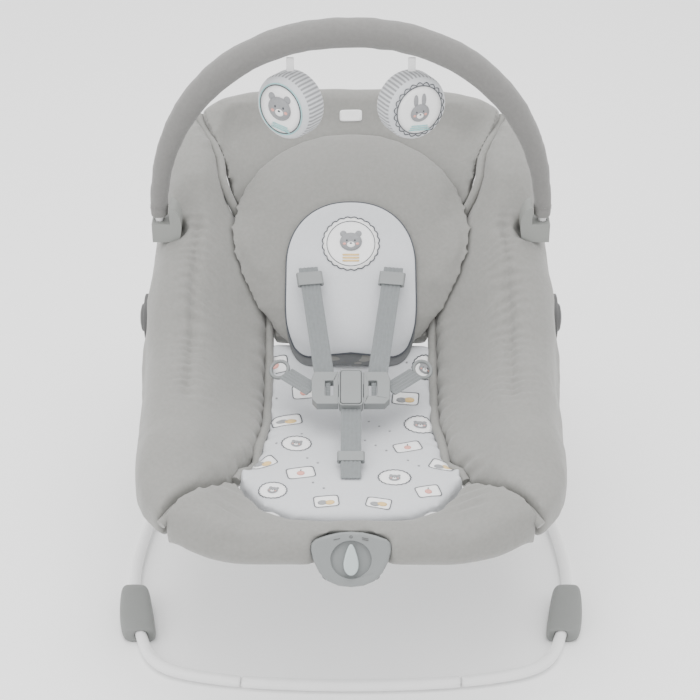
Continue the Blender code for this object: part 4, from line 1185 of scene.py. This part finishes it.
def stitches(name, places, trees, way_of, body):
    """Beads along a row of places, each dropped on the surface."""
    bm = bmesh.new()
    count = 0
    for a, b in zip(places[::2], places[1::2]):
        ends = [land(trees, p + way_of(p) * STITCH_DROP, -way_of(p)) for p in (a, b)]
        if not all(ends) or (ends[0] - ends[1]).length > 3 * STITCH_LONG:
            continue
        along_it = (ends[1] - ends[0]).normalized()
        out = way_of(a)
        over = along_it.cross(out).normalized()
        rings = []
        for t, r in ((-0.05, 0.3), (0.15, 1.0), (0.85, 1.0), (1.05, 0.3)):
            middle = ends[0].lerp(ends[1], t) + out * STITCH_LIFT
            rings.append([bm.verts.new(middle + (over * math.cos(k) + out * math.sin(k)) * STITCH_R * r)
                          for k in (math.pi * q / 3 for q in range(STITCH_SIDES))])
        for first, after in zip(rings, rings[1:]):
            for k in range(STITCH_SIDES):
                n = (k + 1) % STITCH_SIDES
                bm.faces.new((first[k], first[n], after[n], after[k]))
        bm.faces.new(rings[0])
        bm.faces.new(rings[-1])
        count += 1
    piece = link(name, mesh_of(bm, name), THREAD)
    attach(piece, body)
    print(name, "stitches:", count)


# %% [markdown]
# Two rows of stitches go round each end of the arch's sleeve, and one row runs down each side of the
# back, just inside the seam.

# %% Rows of stitches
ARCH_LEAN = math.radians(5.0)
ARCH_UP = Vector((0, -math.sin(ARCH_LEAN), math.cos(ARCH_LEAN)))
HEM_X = 0.2128
HEM_AT = (0.3690, 0.3570)
HEM_R = 0.0095
HEM_STITCHES = 32
BACK_STITCHES = 50
sleeve_trees = surface_of(sleeve)
for word, side in SIDES:
    for row, high in (("low", 0.0115), ("high", 0.0145)):
        centre = at(side * HEM_X, *HEM_AT) + ARCH_UP * (0.006 + high)
        ring = [centre + Vector((math.cos(k), math.sin(k), 0)) * HEM_R
                for k in (2 * math.pi * q / HEM_STITCHES for q in range(HEM_STITCHES))]
        stitches("arch_hem_%s_%s" % (row, word), ring, sleeve_trees,
                 lambda p, c=centre: Vector((p.x - c.x, p.y - c.y, 0)).normalized(), "arch")
back_trees = surface_of(bpy.data.objects["back_panel"])
for word, side in SIDES:
    line = [on_seat(side * (table(SEAM_LINE, s) - 0.0075), s)
            for s in (0.475 + 0.0027 * q for q in range(BACK_STITCHES))]
    stitches("back_stitch_" + word, line, back_trees, lambda p: seat_out(0.55) * 2.5, "seat")

# %% [markdown]
# The room is a pale floor under soft studio light, so that the greys read as they are.

# %% Floor and light
bpy.ops.mesh.primitive_plane_add(size=12.0)
floor = bpy.context.object
floor.name = "floor"
floor_finish, _, floor_shader = new_material("pale_floor", 0.9)
floor_shader.inputs["Base Color"].default_value = (0.95, 0.95, 0.95, 1)
floor.data.materials.append(floor_finish)

world = bpy.data.worlds.new("studio")
world.use_nodes = True
world.node_tree.nodes["Background"].inputs["Color"].default_value = (1, 1, 1, 1)
world.node_tree.nodes["Background"].inputs["Strength"].default_value = 1.75
bpy.context.scene.world = world


def area_light(name, place, target, size, power):
    lamp = bpy.data.lights.new(name, "AREA")
    lamp.size = size
    lamp.energy = power
    made = bpy.data.objects.new(name, lamp)
    made.location = place
    made.rotation_euler = (Vector(target) - Vector(place)).to_track_quat("-Z", "Y").to_euler()
    bpy.context.scene.collection.objects.link(made)


area_light("overhead", (0.0, 0.1, 2.4), (0, 0, 0.2), 2.0, 46.0)
area_light("front_left", (-1.6, -1.8, 1.5), (0, 0, 0.25), 1.4, 14.0)

print("lights: 2")

# %% [markdown]
# A long lens keeps the lines of the seat nearly straight. It looks down from the front.

# %% Camera
CAMERA_BACK = 1.464
CAMERA_UP = 1.249
LENS_MM = 93.96
LOOK_DOWN = math.radians(30.0)
camera_data = bpy.data.cameras.new("camera")
camera_data.lens = LENS_MM
camera_data.sensor_width = 36.0
camera = bpy.data.objects.new("camera", camera_data)
camera.location = (-0.001, FRONT_BAR_Y - CAMERA_BACK, CAMERA_UP)
camera.rotation_euler = (math.pi / 2 - LOOK_DOWN, 0, 0)
bpy.context.scene.collection.objects.link(camera)
bpy.context.scene.camera = camera

print("camera lens:", LENS_MM, "mm")
